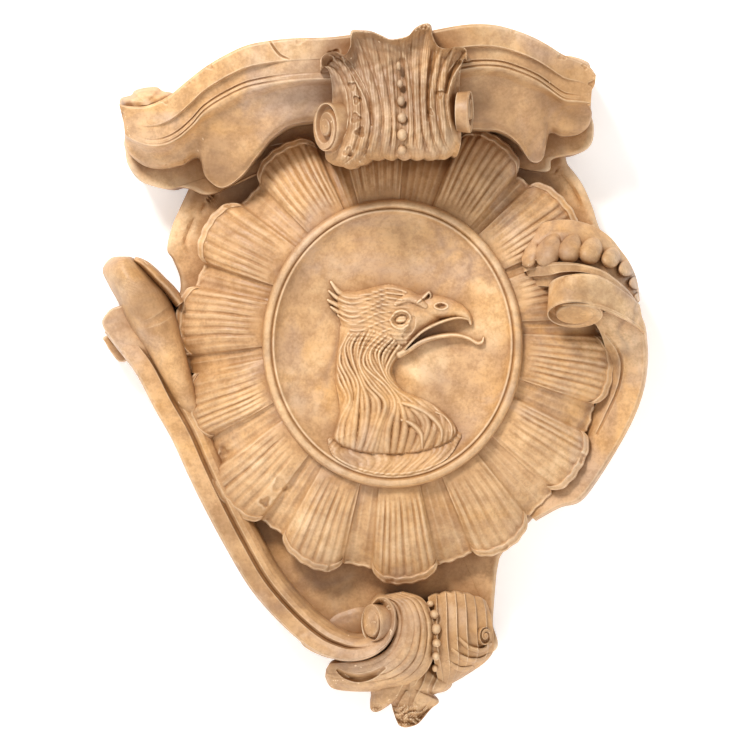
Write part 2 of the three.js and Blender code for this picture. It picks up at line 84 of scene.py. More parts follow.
# %% [markdown]
# ## Smooth lines and soft steps
#
# Every line of the carving is a smooth curve through a few drawn points. `curve` reads
# such a line at any share of its length, and `loop` does the same for an outline that
# closes on itself. `between` crosses from one line to another, and `heading` tells which
# way a line runs. `ease` is a soft step from nought to one, used to blend depths.

# %% Lines through drawn points


def curve(points, t):
    """The smooth line through points, read at shares t of the way along it."""
    p = np.asarray(points, float)
    place = np.clip(t, 0, 1) * (len(p) - 1)
    i = np.minimum(place.astype(int), len(p) - 2)
    f = (place - i)[:, None]
    a, b = p[np.maximum(i - 1, 0)], p[i]
    c, d = p[i + 1], p[np.minimum(i + 2, len(p) - 1)]
    bend = 2 * a - 5 * b + 4 * c - d
    return 0.5 * (2 * b + (c - a) * f + bend * f**2 + (3 * b - 3 * c + d - a) * f**3)


def loop(points, t):
    """The same for a closed outline."""
    around = list(points[-2:]) + list(points) + list(points[:3])
    first, steps = 2, len(around) - 1
    return curve(around, (first + np.asarray(t) * len(points)) / steps)


def between(first, second, along, across):
    """Columns of places on the way from one line to another, shares along and across."""
    start, end = curve(first, along), curve(second, along)
    return (start + (end - start) * across[:, None]).T


def heading(path, t):
    """The unit vector in which a path runs, at shares t of the way along it."""
    ahead = curve(path, np.clip(t + 0.01, 0, 1)) - curve(path, np.clip(t - 0.01, 0, 1))
    return ahead[:, :2].T / np.hypot(ahead[:, 0], ahead[:, 1])


def ease(t, low, high):
    """A soft step: nought before low, one after high."""
    s = np.clip((t - low) / (high - low), 0, 1)
    return s * s * (3 - 2 * s)


print("a soft step:", ease(np.array([0.0, 0.5, 1.0]), 0, 1))

# %% [markdown]
# ## Cutting tools
#
# Four tools shape the surface. `ridge` raises or cuts a line of changing width, as a
# gouge does. `inset` says how far a place lies inside an outline. `hand` is the slight
# unevenness that a hand-worked and worn surface keeps, and `dent` knocks off chips.

# %% Tools


def ridge(x, y, path, steps=6, power=0.5):
    """Height of a line of rows [x, y, half width, height], nought away from it."""
    t = np.linspace(0, 1, steps * (len(path) - 1) + 1)
    line = curve(path, t)
    reach = line[:, 2].max()
    low, high = line[:, :2].min(0) - reach, line[:, :2].max(0) + reach
    near = (x > low[0]) & (x < high[0]) & (y > low[1]) & (y < high[1])
    px, py = x[near], y[near]
    top = np.zeros(px.shape)
    for a, b in zip(line[:-1], line[1:]):
        run = b - a
        long = run[0] ** 2 + run[1] ** 2 + 1e-9
        f = np.clip(((px - a[0]) * run[0] + (py - a[1]) * run[1]) / long, 0, 1)
        away = np.hypot(px - a[0] - f * run[0], py - a[1] - f * run[1])
        q = np.clip(away / (a[2] + f * run[2]), 0, 1)
        height = (a[3] + f * run[3]) * (1 - q * q) ** power
        top = np.where(np.abs(height) > np.abs(top), height, top)
    raised = np.zeros(x.shape)
    raised[near] = top
    return raised


def inset(x, y, outline):
    """How far a place lies inside a closed outline, negative outside it."""
    line = loop(outline, np.linspace(0, 1, 5 * len(outline) + 1))
    away = np.full(x.shape, 1e9)
    inside = np.zeros(x.shape, bool)
    for a, b in zip(line[:-1], line[1:]):
        run = b - a
        long = run[0] ** 2 + run[1] ** 2 + 1e-9
        f = np.clip(((x - a[0]) * run[0] + (y - a[1]) * run[1]) / long, 0, 1)
        away = np.minimum(away, np.hypot(x - a[0] - f * run[0], y - a[1] - f * run[1]))
        rise = b[1] - a[1] if abs(b[1] - a[1]) > 1e-9 else 1e-9
        crosses = (a[1] > y) != (b[1] > y)
        inside ^= crosses & (x < a[0] + (y - a[1]) * run[0] / rise)
    return np.where(inside, away, -away)


def hand(x, y, depth=0.25, grain=1.0):
    """The small unevenness of a hand-cut face, in millimetres."""
    slow = np.sin(x / 13.1 + 1.3 * np.sin(y / 17.3)) * np.sin(y / 11.7 + 0.8)
    quick = np.sin(x / 4.1 + 1.9 * np.sin(y / 5.3)) * np.sin(y / 3.7 + np.sin(x / 6.1))
    return depth * (slow + 0.35 * grain * quick)


def dent(x, y, chips):
    """Chips as rows [x, y, radius, depth]."""
    cut = np.zeros(x.shape)
    for cx, cy, radius, depth in chips:
        q = np.hypot(x - cx, y - cy) / radius
        ragged = q + 0.18 * np.sin(3 * np.arctan2(y - cy, x - cx) + cx)
        cut = np.maximum(cut, depth * (1 - ease(ragged, 0.45, 1)))
    return cut


print("a gouge line 2 deep:", ridge(np.array([5.0]), np.array([5.0]),
                                    [[0, 0, 3, 2], [10, 10, 3, 2]]))

# %% [markdown]
# ## From a grid to a closed solid
#
# A fine grid is the sculptor's clay here. `skin` wraps it into a tube and draws both
# ends together. `block` lays it over the front, drops its border to the wall and draws
# that together behind. The operators then weld the seams and turn the faces outwards,
# so that each piece is one closed mesh.

# %% Wrapping a grid
pieces = []
# Points closer than WELD and edges shorter than SLIVER, in metres, are joined.
WELD, SLIVER = 2e-6, 1e-7
EDGE_RINGS = 4


def finish_piece(name, tool, sharp=40.0):
    """Welds, faces outwards, smooths, and links the piece into the scene."""
    bmesh.ops.remove_doubles(tool, verts=tool.verts, dist=WELD)
    bmesh.ops.dissolve_degenerate(tool, edges=tool.edges, dist=SLIVER)
    bmesh.ops.recalc_face_normals(tool, faces=tool.faces)
    mesh = bpy.data.meshes.new(name)
    tool.to_mesh(mesh)
    tool.free()
    mesh.shade_smooth()
    mesh.set_sharp_from_angle(angle=math.radians(sharp))
    piece = bpy.data.objects.new(name, mesh)
    bpy.context.scene.collection.objects.link(piece)
    pieces.append(piece)
    print(name, len(mesh.polygons), "faces")
    return piece


def lay(across, along, place):
    """A grid whose points go where place(column, row) says."""
    tool = bmesh.new()
    bmesh.ops.create_grid(tool, x_segments=across, y_segments=along, size=0.5)
    flat = np.array([corner.co[:2] for corner in tool.verts]) + 0.5
    spots = place(np.rint(flat[:, 0] * across), np.rint(flat[:, 1] * along))
    for corner, spot in zip(tool.verts, spots):
        corner.co = spot
    return tool


def skin(name, across, along, front, sharp=40.0):
    """A tube of rings, front(u, v) -> x, y, rise, with both ends drawn together."""

    def place(column, row):
        u, v = column / across, np.clip((row - 1) / (along - 2), 0, 1)
        spots = at(*front(u, v))
        for end in (0, along):
            ring = row == (1 if end == 0 else along - 1)
            spots[row == end] = spots[ring].mean(0)
        return spots

    return finish_piece(name, lay(across, along, place), sharp)


def block(name, across, along, front, back=0.0, draw=1.0, sharp=40.0):
    """A front, front(u, v) -> x, y, rise, with its sides going back to the wall."""

    def place(column, row):
        u = np.clip((column - EDGE_RINGS) / (across - 2 * EDGE_RINGS), 0, 1)
        v = np.clip((row - EDGE_RINGS) / (along - 2 * EDGE_RINGS), 0, 1)
        spots = at(*front(u, v))
        ring = np.minimum.reduce([column, row, across - column, along - row])
        # Two rings close to the brink and to the back keep both edges crisp.
        gone = np.interp(ring, [1, 2, 3, 4], [1, 0.97, 0.03, 0])[:, None]
        middle = spots[ring < EDGE_RINGS].mean(0)
        behind = middle + (spots - middle) * draw
        behind[ring == 0] = middle
        behind[:, 1] = -back * MM
        return spots + (behind - spots) * gone

    return finish_piece(name, lay(across, along, place), sharp)


# %% [markdown]
# ## The ground
#
# Everything stands on one slab with a free edge. It shows left and right of the collar
# and in the deep field below it. A narrow ledge follows the collar on either side.
# The slab is an outline drawn in towards its middle, with a rounded front edge.

# %% Mounds over an outline


def mound(name, outline, rows, around, along, cut=None, middle=None, sharp=40.0):
    """A raised outline: rows [share, rise] from the back to the front's middle."""
    rows = np.array(rows, float)
    centre = np.mean(outline, axis=0) if middle is None else np.array(middle, float)
    radius = np.mean(np.hypot(*(np.array(outline, float) - centre).T)) * POINT_MM
    lengths = np.hypot(np.diff(rows[:, 0]) * radius, np.diff(rows[:, 1]))
    brink = rows[rows[:, 0] >= 1, 1].max()
    travel = np.concatenate([[0], np.cumsum(lengths)])

    def front(u, v):
        ring = loop(outline, u)
        reach = v * travel[-1]
        share = np.interp(reach, travel, rows[:, 0])
        rise = np.interp(reach, travel, rows[:, 1])
        x = centre[0] + (ring[:, 0] - centre[0]) * share
        y = centre[1] + (ring[:, 1] - centre[1]) * share
        # The wall below the brink goes straight back, so it is drawn in for the eye.
        drawn = nearness(brink) / nearness(np.minimum(rise, brink))
        x, y = EYE[0] + (x - EYE[0]) * drawn, EYE[1] + (y - EYE[1]) * drawn
        if cut is not None:
            facing = ease(rise, rows[:, 1].max() * 0.6, rows[:, 1].max() * 0.9)
            rise = rise + cut(x, y) * facing
        return x, y, rise

    return skin(name, around, along, front, sharp)


# %% The ground
GROUND_RISE = 32
ground_outline = [
    (203, 148), (190, 185), (181, 205), (172, 226), (167, 249), (173, 260), (180, 279),
    (178, 297), (164, 312), (160, 338), (174, 393), (213, 468), (253, 543), (303, 613),
    (358, 648), (423, 663), (493, 652), (493, 623), (495, 593), (498, 566), (505, 550),
    (538, 513), (587, 463), (619, 408), (633, 343), (623, 278), (600, 229), (593, 208),
    (583, 185), (569, 166), (543, 138), (393, 128),
]
ledge_left = [
    (221, 187, 1.6, -2.2), (208, 201, 1.6, -2.4), (195, 219, 1.6, -2.4),
    (185, 242, 1.6, -2.2), (190, 256, 1.5, -1.0),
]
ledge_right = [
    (556, 170, 1.6, -1.8), (572, 190, 1.6, -2.4), (582, 206, 1.6, -2.4),
    (590, 226, 1.5, -1.5),
]


def ground_cut(x, y):
    lines = ridge(x, y, ledge_left, power=1) + ridge(x, y, ledge_right, power=1)
    return lines + hand(x, y, 0.45)


mound("ground", ground_outline,
      [(0.4, 0), (1, 0), (1, GROUND_RISE - 5), (0.992, GROUND_RISE - 1.2),
       (0.98, GROUND_RISE), (0.3, GROUND_RISE - 4)], 420, 110, ground_cut)

# %% [markdown]
# ## The crest
#
# The crest is a moulding that swings up and over in two unequal wings. From the top
# it has a plain fascia, a band, a fillet between two quirks, a hollow, and a swell
# that fills the lobed ends. Each wing is swept between its top line and its foot
# line, and the drop of the moulding is read from the distance below the top.

# %% The slab behind the crest
crest_back_outline = [
    (124, 140), (125, 150), (127, 163), (133, 174), (140, 181), (149, 185),
    (160, 188), (170, 189), (179, 187), (190, 189), (213, 194), (273, 168), (393, 148),
    (493, 163), (545, 172), (552, 160), (566, 156), (577, 154), (586, 150), (592, 143),
    (594, 133), (593, 120), (585, 101), (575, 70), (560, 62), (513, 44), (470, 38),
    (430, 40), (393, 45), (360, 45), (300, 50), (250, 58), (205, 80), (170, 98),
    (150, 108), (130, 112),
]
mound("crest_back", crest_back_outline,
      [(0.5, 0.6), (0.985, 0.6), (1, 43), (0.995, 46), (0.985, 47), (0.3, 42)], 400, 90,
      lambda x, y: hand(x, y, 0.4), middle=(380, 120))

# %% The moulding of one wing
CREST_END_RISE, CREST_MIDDLE_RISE = 90, 128
FASCIA, BAND, FILLET = 22.0, 15.5, 5.0
# The drop below the fascia's face, from the end of the fillet to the foot.
hollow_and_swell = [[11.5], [17], [21.5], [25], [27.5], [29], [30.5], [33], [38.5]]


def wing(top_line, foot_line, end_taper, fade, cuts, fold, notch=0.0):
    """The front of a wing, from its free end to the leaf, its lines fading there."""

    def front(u, v):
        x, y = between(top_line, foot_line, v, u)
        x = x - notch * np.exp(-(((u - 0.58) / 0.2) ** 2)) * (1 - ease(v, 0, 0.07))
        span = np.hypot(*(curve(foot_line, v) - curve(top_line, v)).T)
        down = u * span / (end_taper + (1 - end_taper) * ease(v, 0, 0.3))
        whole = down / np.maximum(u, 1e-6)
        firm = (0.05 + 0.95 * ease(v, 0.12, 0.42)) * (1 - 0.8 * ease(v, *fade))
        quirk = FASCIA + BAND
        drop = 1.5 * ease(down, 0, FASCIA) + 2.0 * (1 - ease(down, 0, 2.6))
        drop = drop + firm * 4.6 * ease(down, FASCIA, FASCIA + 2.2)
        drop = drop + 2.0 * ease(down, FASCIA + 2, quirk)
        drop = drop + firm * 1.5 * (1 - ease(np.abs(down - quirk), 0.3, 1.3))
        drop = drop + firm * 1.2 * (1 - ease(np.abs(down - quirk - FILLET), 0.3, 1.3))
        moulded = quirk + FILLET + 1
        rest = np.clip((down - moulded) / np.maximum(whole - moulded, 12), 0, 1)
        cove = curve(hollow_and_swell, rest)[:, 0] - 3.4 * (1 - firm)
        drop = drop + (cove - drop) * ease(rest, 0, 0.16)
        drop = drop + 12 * np.exp(-(((v - 0.58) / 0.1) ** 2)) * ease(u, 0.55, 1)
        rise = CREST_END_RISE + (CREST_MIDDLE_RISE - CREST_END_RISE) * ease(v, 0, 1)
        rise = rise - drop + hand(x, y, 0.4, 1.5) - dent(x, y, cuts)
        return x, y, rise + ridge(x, y, fold, power=1)

    return front


# %% The left wing
left_top = [
    (119, 104), (128, 106), (142, 106.5), (155, 103), (170, 95), (187, 81), (205, 67),
    (225, 55), (247, 45), (270, 40.5), (295, 38), (330, 37), (363, 33),
]
left_foot = [
    (125, 129), (127, 150), (142, 164.5), (161, 168.5), (182, 164.5), (198, 157.5),
    (206, 177), (222, 187.5), (241, 176), (257, 156), (276, 134), (302, 122), (363, 120),
]
left_chips = [(165, 100, 5, 1.2), (187, 83, 4, 1.0), (300, 39, 6, 1.2), (334, 55, 7, 2),
              (121, 116, 4, 1.5), (210, 66, 4, 1), (188, 163, 5, 1.5), (166, 168, 4, 1.2)]
left_fold = [(269, 40, 1.2, -1.4), (279, 54, 1.4, -2.0), (289, 59, 1.0, -0.8)]
block("crest_left", 160, 480,
      wing(left_top, left_foot, 0.62, (0.72, 0.86), left_chips, left_fold), back=1.2)

# %% The right wing
right_top = [
    (596, 75), (590, 67), (578, 60), (564, 55), (548, 45), (533, 37), (515, 30),
    (495, 25), (475, 24), (455, 26), (429, 31),
]
right_foot = [
    (592, 116), (588, 127), (577, 134.5), (562, 136), (549.5, 133.5), (543, 158),
    (531, 161), (517, 142), (500, 131), (480, 129), (429, 127),
]
right_chips = [(562, 56, 5, 1.2), (514, 30, 4, 1.0), (585, 66, 4, 1.0), (592, 84, 4, 1.2)]
right_fold = [(470, 60, 0.8, -0.4), (480, 62, 0.8, -0.4)]
block("crest_right", 150, 400,
      wing(right_top, right_foot, 0.75, (0.9, 1.1), right_chips, right_fold, 9), back=1.8)

# %% The worn stubs on the crest's ends
mound("crest_stub_left", [(120, 104), (121, 98), (131, 95), (134, 91), (140, 88.5),
                          (149, 87), (157, 87), (163, 91), (172, 93), (173, 101),
                          (158, 110), (140, 113), (126, 112)],
      [(0.9, 3), (0.97, 3), (1, 50), (0.95, 62), (0.8, 73), (0.5, 84), (0.2, 87)], 120, 50,
      lambda x, y: hand(x, y, 0.8, 2), middle=(146, 103))
mound("crest_stub_right", [(560, 58), (566, 55.5), (575, 57), (584, 60), (590, 65),
                           (589, 78), (570, 76)],
      [(0.9, 3), (0.98, 3), (1, 54), (0.95, 64), (0.8, 72), (0.5, 80), (0.2, 82)], 80, 40,
      lambda x, y: hand(x, y, 0.8, 2))

# %% [markdown]
# ## The shell collar
#
# Fourteen wide lobes spread like a scallop shell, each with seven to nine gouged flutes
# and a thin worn lip. Narrow lobes lie sunk between them. One ring of columns turns round
# the medallion, and each column reads how far out it reaches and how deep it is cut.

# %% Lobes of the collar
COLLAR_MIDDLE = (394.0, 351.0)
COLLAR_HALF = (223.8, 236.2)
MEDALLION_MIDDLE = (392.5, 343.5)
MEDALLION_HALF = (130.5, 144.5)
COLLAR_INNER_RISE, COLLAR_OUTER_RISE = 77, 55
# How deep the inner end dips behind the medallion, in millimetres.
COLLAR_TUCK = 40
# Half the width of a lobe in degrees, then each lobe: its bearing and its reach.
LOBE_HALF = 9.2
LOBES = np.array([
    (-6, 0.98), (27, 1.02), (50, 1.0), (72, 0.95), (95, 0.985), (121, 0.975),
    (148.5, 0.98), (177, 0.99), (203.5, 0.99), (229, 1.0), (255, 0.96), (278, 0.99),
    (303, 1.0), (329, 1.01),
])


def lobe_of(angle):
    """For a bearing: the lobe's number, the place across it (-1 to 1) and its reach."""
    turn = (angle[:, None] - LOBES[None, :, 0] + 180) % 360 - 180
    number = np.argmin(np.abs(turn), axis=1)
    across = turn[np.arange(len(angle)), number] / LOBE_HALF
    return number, across, LOBES[number, 1]


# %% The collar
collar_chips = [
    (280, 485, 9, 2.2), (265, 502, 6, 2.5), (228, 205, 5, 1.5), (310, 146, 5, 1.5),
    (179, 345, 5, 1.5), (583, 458, 6, 2), (505, 550, 6, 2), (390, 583, 5, 1.5),
    (478, 134, 5, 1.5), (190, 262, 5, 1.2), (224, 452, 6, 2), (330, 570, 5, 1.5),
]
# Rows across the edge: [share of the reach, rise, how much of the cutting it takes].
collar_rows = np.array([
    (0.30, 20, 0), (0.70, 26, 0), (0.955, 30, 0), (0.985, 46, 1), (0.997, 50, 1),
    (1.000, 51, 1), (1.000, 53.6, 1), (0.994, 55.6, 1), (0.984, 55.9, 1),
])
EDGE_SHARE = 0.16


def collar(u, v):
    angle = u * 360 - 30
    number, across, reach = lobe_of(angle)
    across = across + 0.16 * np.sin(number * 2.7) * np.clip(1 - across**2, 0, 1)
    side = np.clip(np.abs(across), 0, 1)
    wall = ease(np.abs(across), 0.97, 1.03)
    far = reach * (1 - 0.042 * side**2.4 - 0.03 * side**12) * (1 - wall) + 0.926 * wall
    bearing = np.radians(angle)
    far = far + 0.003 * np.sin(18 * bearing + number) + 0.002 * np.sin(97 * bearing)
    # How far across the face a row lies: nought at the medallion, one at the lip.
    face = np.clip((v - EDGE_SHARE) / (0.97 - EDGE_SHARE), 0, 1)
    steps = np.linspace(0, 1, len(collar_rows))
    edge = np.clip(v / EDGE_SHARE, 0, 1)
    share, edge_rise, edge_cut = (np.interp(edge, steps, part) for part in collar_rows.T)
    out = np.where(share < 0.6, share, share * far)
    t = 1 - face
    spread = COLLAR_INNER_RISE + (COLLAR_OUTER_RISE - COLLAR_INNER_RISE) * t
    spread = spread + 8 * np.sin(np.pi * t)
    s = (across + 1) / 2 + 0.02 * np.sin(number * 2.1) * np.sin(np.pi * t)
    phase = s * (7 + (number * 5) % 3) + 0.16 * np.sin(2 * np.pi * s + number)
    phase = phase + 0.05 * np.sin(9 * t + number * 1.7)
    groove = (0.5 - 0.5 * np.cos(2 * np.pi * phase)) ** 2.2
    depth = 1.25 + 0.35 * np.sin(number * 3.3 + np.floor(phase) * 2.4)
    flutes = depth * groove * ease(t, 0.02, 0.3) * (1 - ease(t, 0.945, 0.965))
    dip = 1.8 * side**2 + 1.4 * ease(side, 0.84, 1.0)
    narrow_groove = 0.7 * (0.5 - 0.5 * np.cos(2 * np.pi * (np.abs(across) - 1) / 0.27))
    sunk = (dip + flutes) * (1 - wall) + (6.6 + narrow_groove) * wall
    lip = 1.5 * ease(t, 0.957, 0.967) * (1 - wall)
    rise = np.where(v < EDGE_SHARE, edge_rise - edge_cut * (1.8 * side**2 + 5.5 * wall),
                    spread - sunk * ease(t, -0.35, 0.5) + lip)
    x = COLLAR_MIDDLE[0] + np.sin(bearing) * COLLAR_HALF[0] * out
    y = COLLAR_MIDDLE[1] - np.cos(bearing) * COLLAR_HALF[1] * out
    x = x + (MEDALLION_MIDDLE[0] + np.sin(bearing) * (MEDALLION_HALF[0] - 5) - x) * face
    y = y + (MEDALLION_MIDDLE[1] - np.cos(bearing) * (MEDALLION_HALF[1] - 5) - y) * face
    shown = ease(v, 0.08, EDGE_SHARE)
    rise = rise + shown * (hand(x, y, 0.35, 1.5) - dent(x, y, collar_chips))
    return x, y, rise - COLLAR_TUCK * ease(v, 0.975, 1)


skin("collar", 1260, 74, collar)

# %% [markdown]
# ## The medallion
#
# A bold rim runs round a dished oval field. It is a turned form, so a ring of columns
# sweeps the section: outer wall, rounded rim, quirk, thin fillet and hollow.

# %% The medallion
MEDALLION_RISE = 85
# Rows of the section: [points inwards from the edge, rise].
rim_section = np.array([
    (40, 20), (6, 20), (0.5, 66), (0, 76), (0.6, 80.5), (2.2, 83.6), (4.6, 84.8),
    (7.0, 84.4), (8.6, 82.6), (9.4, 81.6), (10.4, 82.6), (11.6, 82.9), (12.8, 82.0),
    (14.5, 80.0), (18, 77.6), (24, 75.0), (33, 72.6), (46, 70.4), (60, 69.0),
    (80, 67.8), (104, 67.2), (128, 67.0),
])
rim_travel = np.concatenate([[0], np.cumsum(
    np.hypot(*np.diff(rim_section, axis=0).T) ** 0.75)])


def medallion(u, v):
    turn = u * 2 * np.pi
    section = curve(rim_section, np.interp(v * rim_travel[-1], rim_travel,
                                           np.linspace(0, 1, len(rim_section))))
    inwards, rise = section[:, 0], section[:, 1]
    x = MEDALLION_MIDDLE[0] + np.sin(turn) * (MEDALLION_HALF[0] - inwards)
    y = MEDALLION_MIDDLE[1] - np.cos(turn) * (MEDALLION_HALF[1] - inwards)
    shown = ease(v, 0.15, 0.3)
    return x, y, rise + shown * hand(x, y, 0.3, 0.8)


skin("medallion", 380, 150, medallion, sharp=80)

# %% [markdown]
# ## The eagle's head
#
# The head is in low relief. Its height is built up as a carver would: first the
# masses of head and neck, then the beak and brow, then the locks of feathers, and
# last the fine parting lines. Each stage adds to the height over one dense grid.

# %% The masses of the head
head_outline = [
    (337, 304), (338, 296), (345, 291), (356, 291), (368, 288), (382, 285),
    (396, 285), (408, 289), (418, 294), (428, 297), (440, 298), (447, 303),
    (444, 318), (432, 327), (420, 335), (410, 347), (402, 352), (385, 356),
    (362, 352), (344, 336),
]
neck_outline = [
    (345, 322), (339, 340), (336, 360), (335, 382), (338, 398), (339, 412),
    (336, 426), (333, 438), (340, 446), (356, 452), (380, 455), (404, 455),
    (428, 451), (447, 444), (457, 434), (455, 424), (444, 412), (430, 402),
    (414, 395), (402, 389), (395, 378), (393, 368), (398, 358), (406, 350), (400, 330),
]


def pillow(inside, width, height, power=0.5):
    """A rounded mass that climbs from an outline over the given width."""
    q = np.clip(inside / width, 0, 1)
    return height * (1 - (1 - q) ** 2) ** power


# %% The beak, the eye and the crest feathers
upper_beak = [
    (414, 306, 11, 10), (428, 307, 12.5, 12), (442, 308, 11.5, 12.5), (454, 310, 9, 12),
    (463, 313.5, 6.2, 11), (468.5, 318, 3.4, 8), (470.5, 324, 1.8, 5),
]
upper_lip = [
    (405, 349, 1.6, 11), (411, 342, 1.8, 11.5), (421, 332.5, 2, 12), (433, 325.5, 2, 12),
    (447, 320, 2, 11.5), (459, 317.5, 2, 10.5), (468, 319, 1.8, 8),
]
lower_beak = [
    (399, 354, 5, 9), (408, 349, 4.4, 9), (418, 343, 3.8, 9), (430, 338.5, 3.2, 9),
    (444, 335.5, 2.8, 8.5), (457, 335, 2.6, 8), (468, 338, 2.5, 7), (477, 343, 2.3, 6),
    (482, 342, 2, 5), (483.5, 338, 1.4, 4),
]
gape = [(406, 348, 1.6, -7), (413, 341.5, 2.6, -11), (424, 334, 3.6, -12),
        (436, 329.5, 4, -12), (452, 326, 4.4, -12)]
brow = [(396, 304, 2.4, 1.0), (402, 300, 3.4, 2.4), (410, 298, 4, 3.4),
        (418, 301, 4, 3.6), (425, 306, 2.6, 1.5)]
horn = [(417, 303, 2.4, 11), (424, 297, 2.6, 12), (429, 292.5, 1.9, 11),
        (430.5, 297, 1.6, 10), (426, 301, 1.4, 9)]
crest_feathers = [
    [(406, 292, 1.8), (389, 287, 3.0), (371, 293, 3.6), (353, 297, 3.6), (340, 293, 3.2),
     (331, 282, 1.6)],
    [(404, 295, 1.6), (388, 293, 2.6), (370, 298, 3.2), (352, 303, 3.2), (339, 299, 2.8),
     (329, 291, 1.4)],
    [(402, 300, 1.8), (386, 298, 3.0), (369, 306, 3.6), (352, 311, 3.6), (339, 306, 3.2),
     (328, 300, 1.6)],
    [(396, 305, 1.6), (382, 305, 2.6), (367, 311, 3.2), (353, 317, 3.2), (341, 313, 2.8),
     (331, 307, 1.4)],
    [(390, 312, 1.6), (378, 313, 2.6), (366, 319, 3.0), (354, 324, 3.0), (345, 321, 2.4),
     (338, 315, 1.2)],
    [(390, 320, 1.6), (380, 322, 2.6), (369, 327, 3.0), (359, 331, 2.8), (351, 330, 2.0)],
    [(392, 328, 1.6), (384, 331, 2.4), (376, 335, 2.6), (368, 337, 2.2)],
]

# %% The locks of the neck
# Guide lines from the nape to the throat, each drawn downwards with its S-shaped sway.
lock_guides = np.array([
    [(350, 322), (341, 341), (337, 360), (339, 380), (343, 400), (338, 424), (334, 452)],
    [(360, 326), (349, 344), (348, 363), (357, 383), (363, 401), (357, 426), (350, 458)],
    [(371, 330), (359, 347), (359, 365), (372, 385), (381, 403), (376, 428), (370, 461)],
    [(383, 334), (370, 350), (371, 367), (387, 387), (399, 404), (400, 428), (390, 461)],
    [(394, 340), (381, 354), (382, 370), (397, 388), (417, 402), (430, 424), (420, 458)],
    [(402, 350), (392, 362), (392, 376), (405, 390), (431, 400), (452, 418), (450, 448)],
], float)


def locks(x, y):
    """Long strands side by side, with a deeper parting after every few of them."""
    height = np.zeros(x.shape)
    count, levels = 23, np.arange(lock_guides.shape[1])
    pitch = np.hypot(*(lock_guides[-1] - lock_guides[0]).T) / (count - 1)
    for number in range(count):
        across = np.array([number / (count - 1) + 0.008 * math.sin(number * 2.9)])
        line = np.array([curve(lock_guides[:, k], across)[0] for k in levels])
        swing = (2.6 + 0.9 * math.sin(number * 1.7)) * (0.7 + 0.13 * levels)
        sway = swing * np.sin(levels * 2.0 + number * 0.62)
        high = 2.8 - 1.2 * (number % 4 == 3) + 0.5 * math.sin(number * 2.3)
        rows = [(px + sway[k], py, 0.7 * pitch[k] + 0.35, high)
                for k, (px, py) in enumerate(line)]
        height = np.maximum(height, ridge(x, y, rows, steps=8, power=0.7))
    return height


# The breast feathers curl over the shoulder at the lower right.
breast = [
    [(404, 389, 2.4, 2.6), (422, 396, 3.6, 4.2), (440, 406, 3.8, 4.6), (453, 420, 3.4, 4.4),
     (456, 436, 2.0, 3.0)],
    [(398, 402, 2.4, 2.6), (414, 406, 3.6, 4.2), (430, 415, 3.8, 4.6), (441, 428, 3.2, 4.2),
     (441, 441, 2.0, 3.0)],
    [(402, 420, 2.2, 2.4), (412, 424, 3.2, 4.0), (421, 434, 3.4, 4.2), (422, 448, 2.0, 3.0)],
    [(428, 396, 1.6, 2.4), (441, 400, 2.4, 3.6), (452, 409, 2.4, 3.8), (460, 421, 1.4, 2.4)],
    [(436, 412, 1.6, 2.4), (446, 417, 2.4, 3.8), (452, 428, 2.2, 3.8), (450, 441, 1.4, 2.4)],
]


# %% The torse under the neck, and the whole relief
torse = [
    (331, 441, 4, 2.4), (339, 451, 8, 3.6), (357, 459, 12, 4.2), (380, 463, 14, 4.6),
    (403, 463, 14, 4.6), (425, 458, 13, 4.6), (443, 449, 10, 4), (457, 436, 5, 2.6),
]
lid_lines = [
    [(391, 318, 1.2, 1.4), (396, 312, 1.6, 2.2), (403, 310.5, 1.6, 2.4),
     (409, 314, 1.4, 2.0), (411, 319, 1.2, 1.4)],
    [(390, 320, 1.2, 1.2), (394, 326.5, 1.5, 1.8), (402, 328.5, 1.5, 1.8),
     (408, 325, 1.3, 1.4)],
    [(413, 318, 2.6, -1.2), (411, 328, 3.0, -1.6), (404, 336, 2.6, -1.2)],
]


def eagle_height(x, y):
    head, neck = inset(x, y, head_outline), inset(x, y, neck_outline)
    mass = np.maximum(pillow(head, 20, 11), pillow(neck, 26, 10.5))
    strands = locks(x, y)
    for path in breast:
        strands = np.maximum(strands, ridge(x, y, path, power=0.7) * 1.1)
    height = mass + (strands - 1.0) * ease(neck, 0, 3) * ease(y, 326, 342)
    for path in (upper_beak, horn, lower_beak):
        height = np.maximum(height, ridge(x, y, path))
    height = height + ridge(x, y, gape, power=0.8) * (height > 0.5)
    height = np.maximum(height, ridge(x, y, upper_lip))
    for path in crest_feathers:
        rows = [(px, py, half, 2.9) for px, py, half in path]
        tuft = ridge(x, y, rows, power=0.7)
        height = np.where(tuft > 0, np.maximum(height, np.maximum(mass * 0.8, 3) + tuft),
                          height)
    height = height + ridge(x, y, brow)
    slant = y - 319.5 + 0.16 * (x - 401)
    eye = np.hypot((x - 401) / 1.5, slant)
    ball = np.clip(1 - (eye / 3.9) ** 2, 0, 1) ** 0.5
    height = height - 2.2 * (1 - ease(eye, 3.6, 6.4)) + 2.6 * ball
    for path in lid_lines:
        height = height + ridge(x, y, path)
    nostril = np.hypot((x - 441) / 5.0, (y - 306) / 2.6)
    height = height - 3.0 * (1 - ease(nostril, 0.5, 1.1))
    height = height + 1.0 * (1 - ease(np.abs(nostril - 1.35), 0.1, 0.3))
    lean = x * 0.17 + 1.3 * np.sin(y * 0.16 + x * 0.033)
    rough = 1.1 * np.abs(np.sin(lean)) + 0.6 * np.abs(np.sin(2.3 * lean + y * 0.11)) - 1.0
    roll = ridge(x, y, torse, power=0.8)
    height = np.maximum(height, roll + rough * ease(roll, 0, 2))
    down = ease(head, 1, 6) * (1 - ease(x, 404, 416))
    return height + 0.7 * down * np.abs(np.sin(0.7 * (y - 0.2 * x) + 1.3 * np.sin(x * 0.14)))


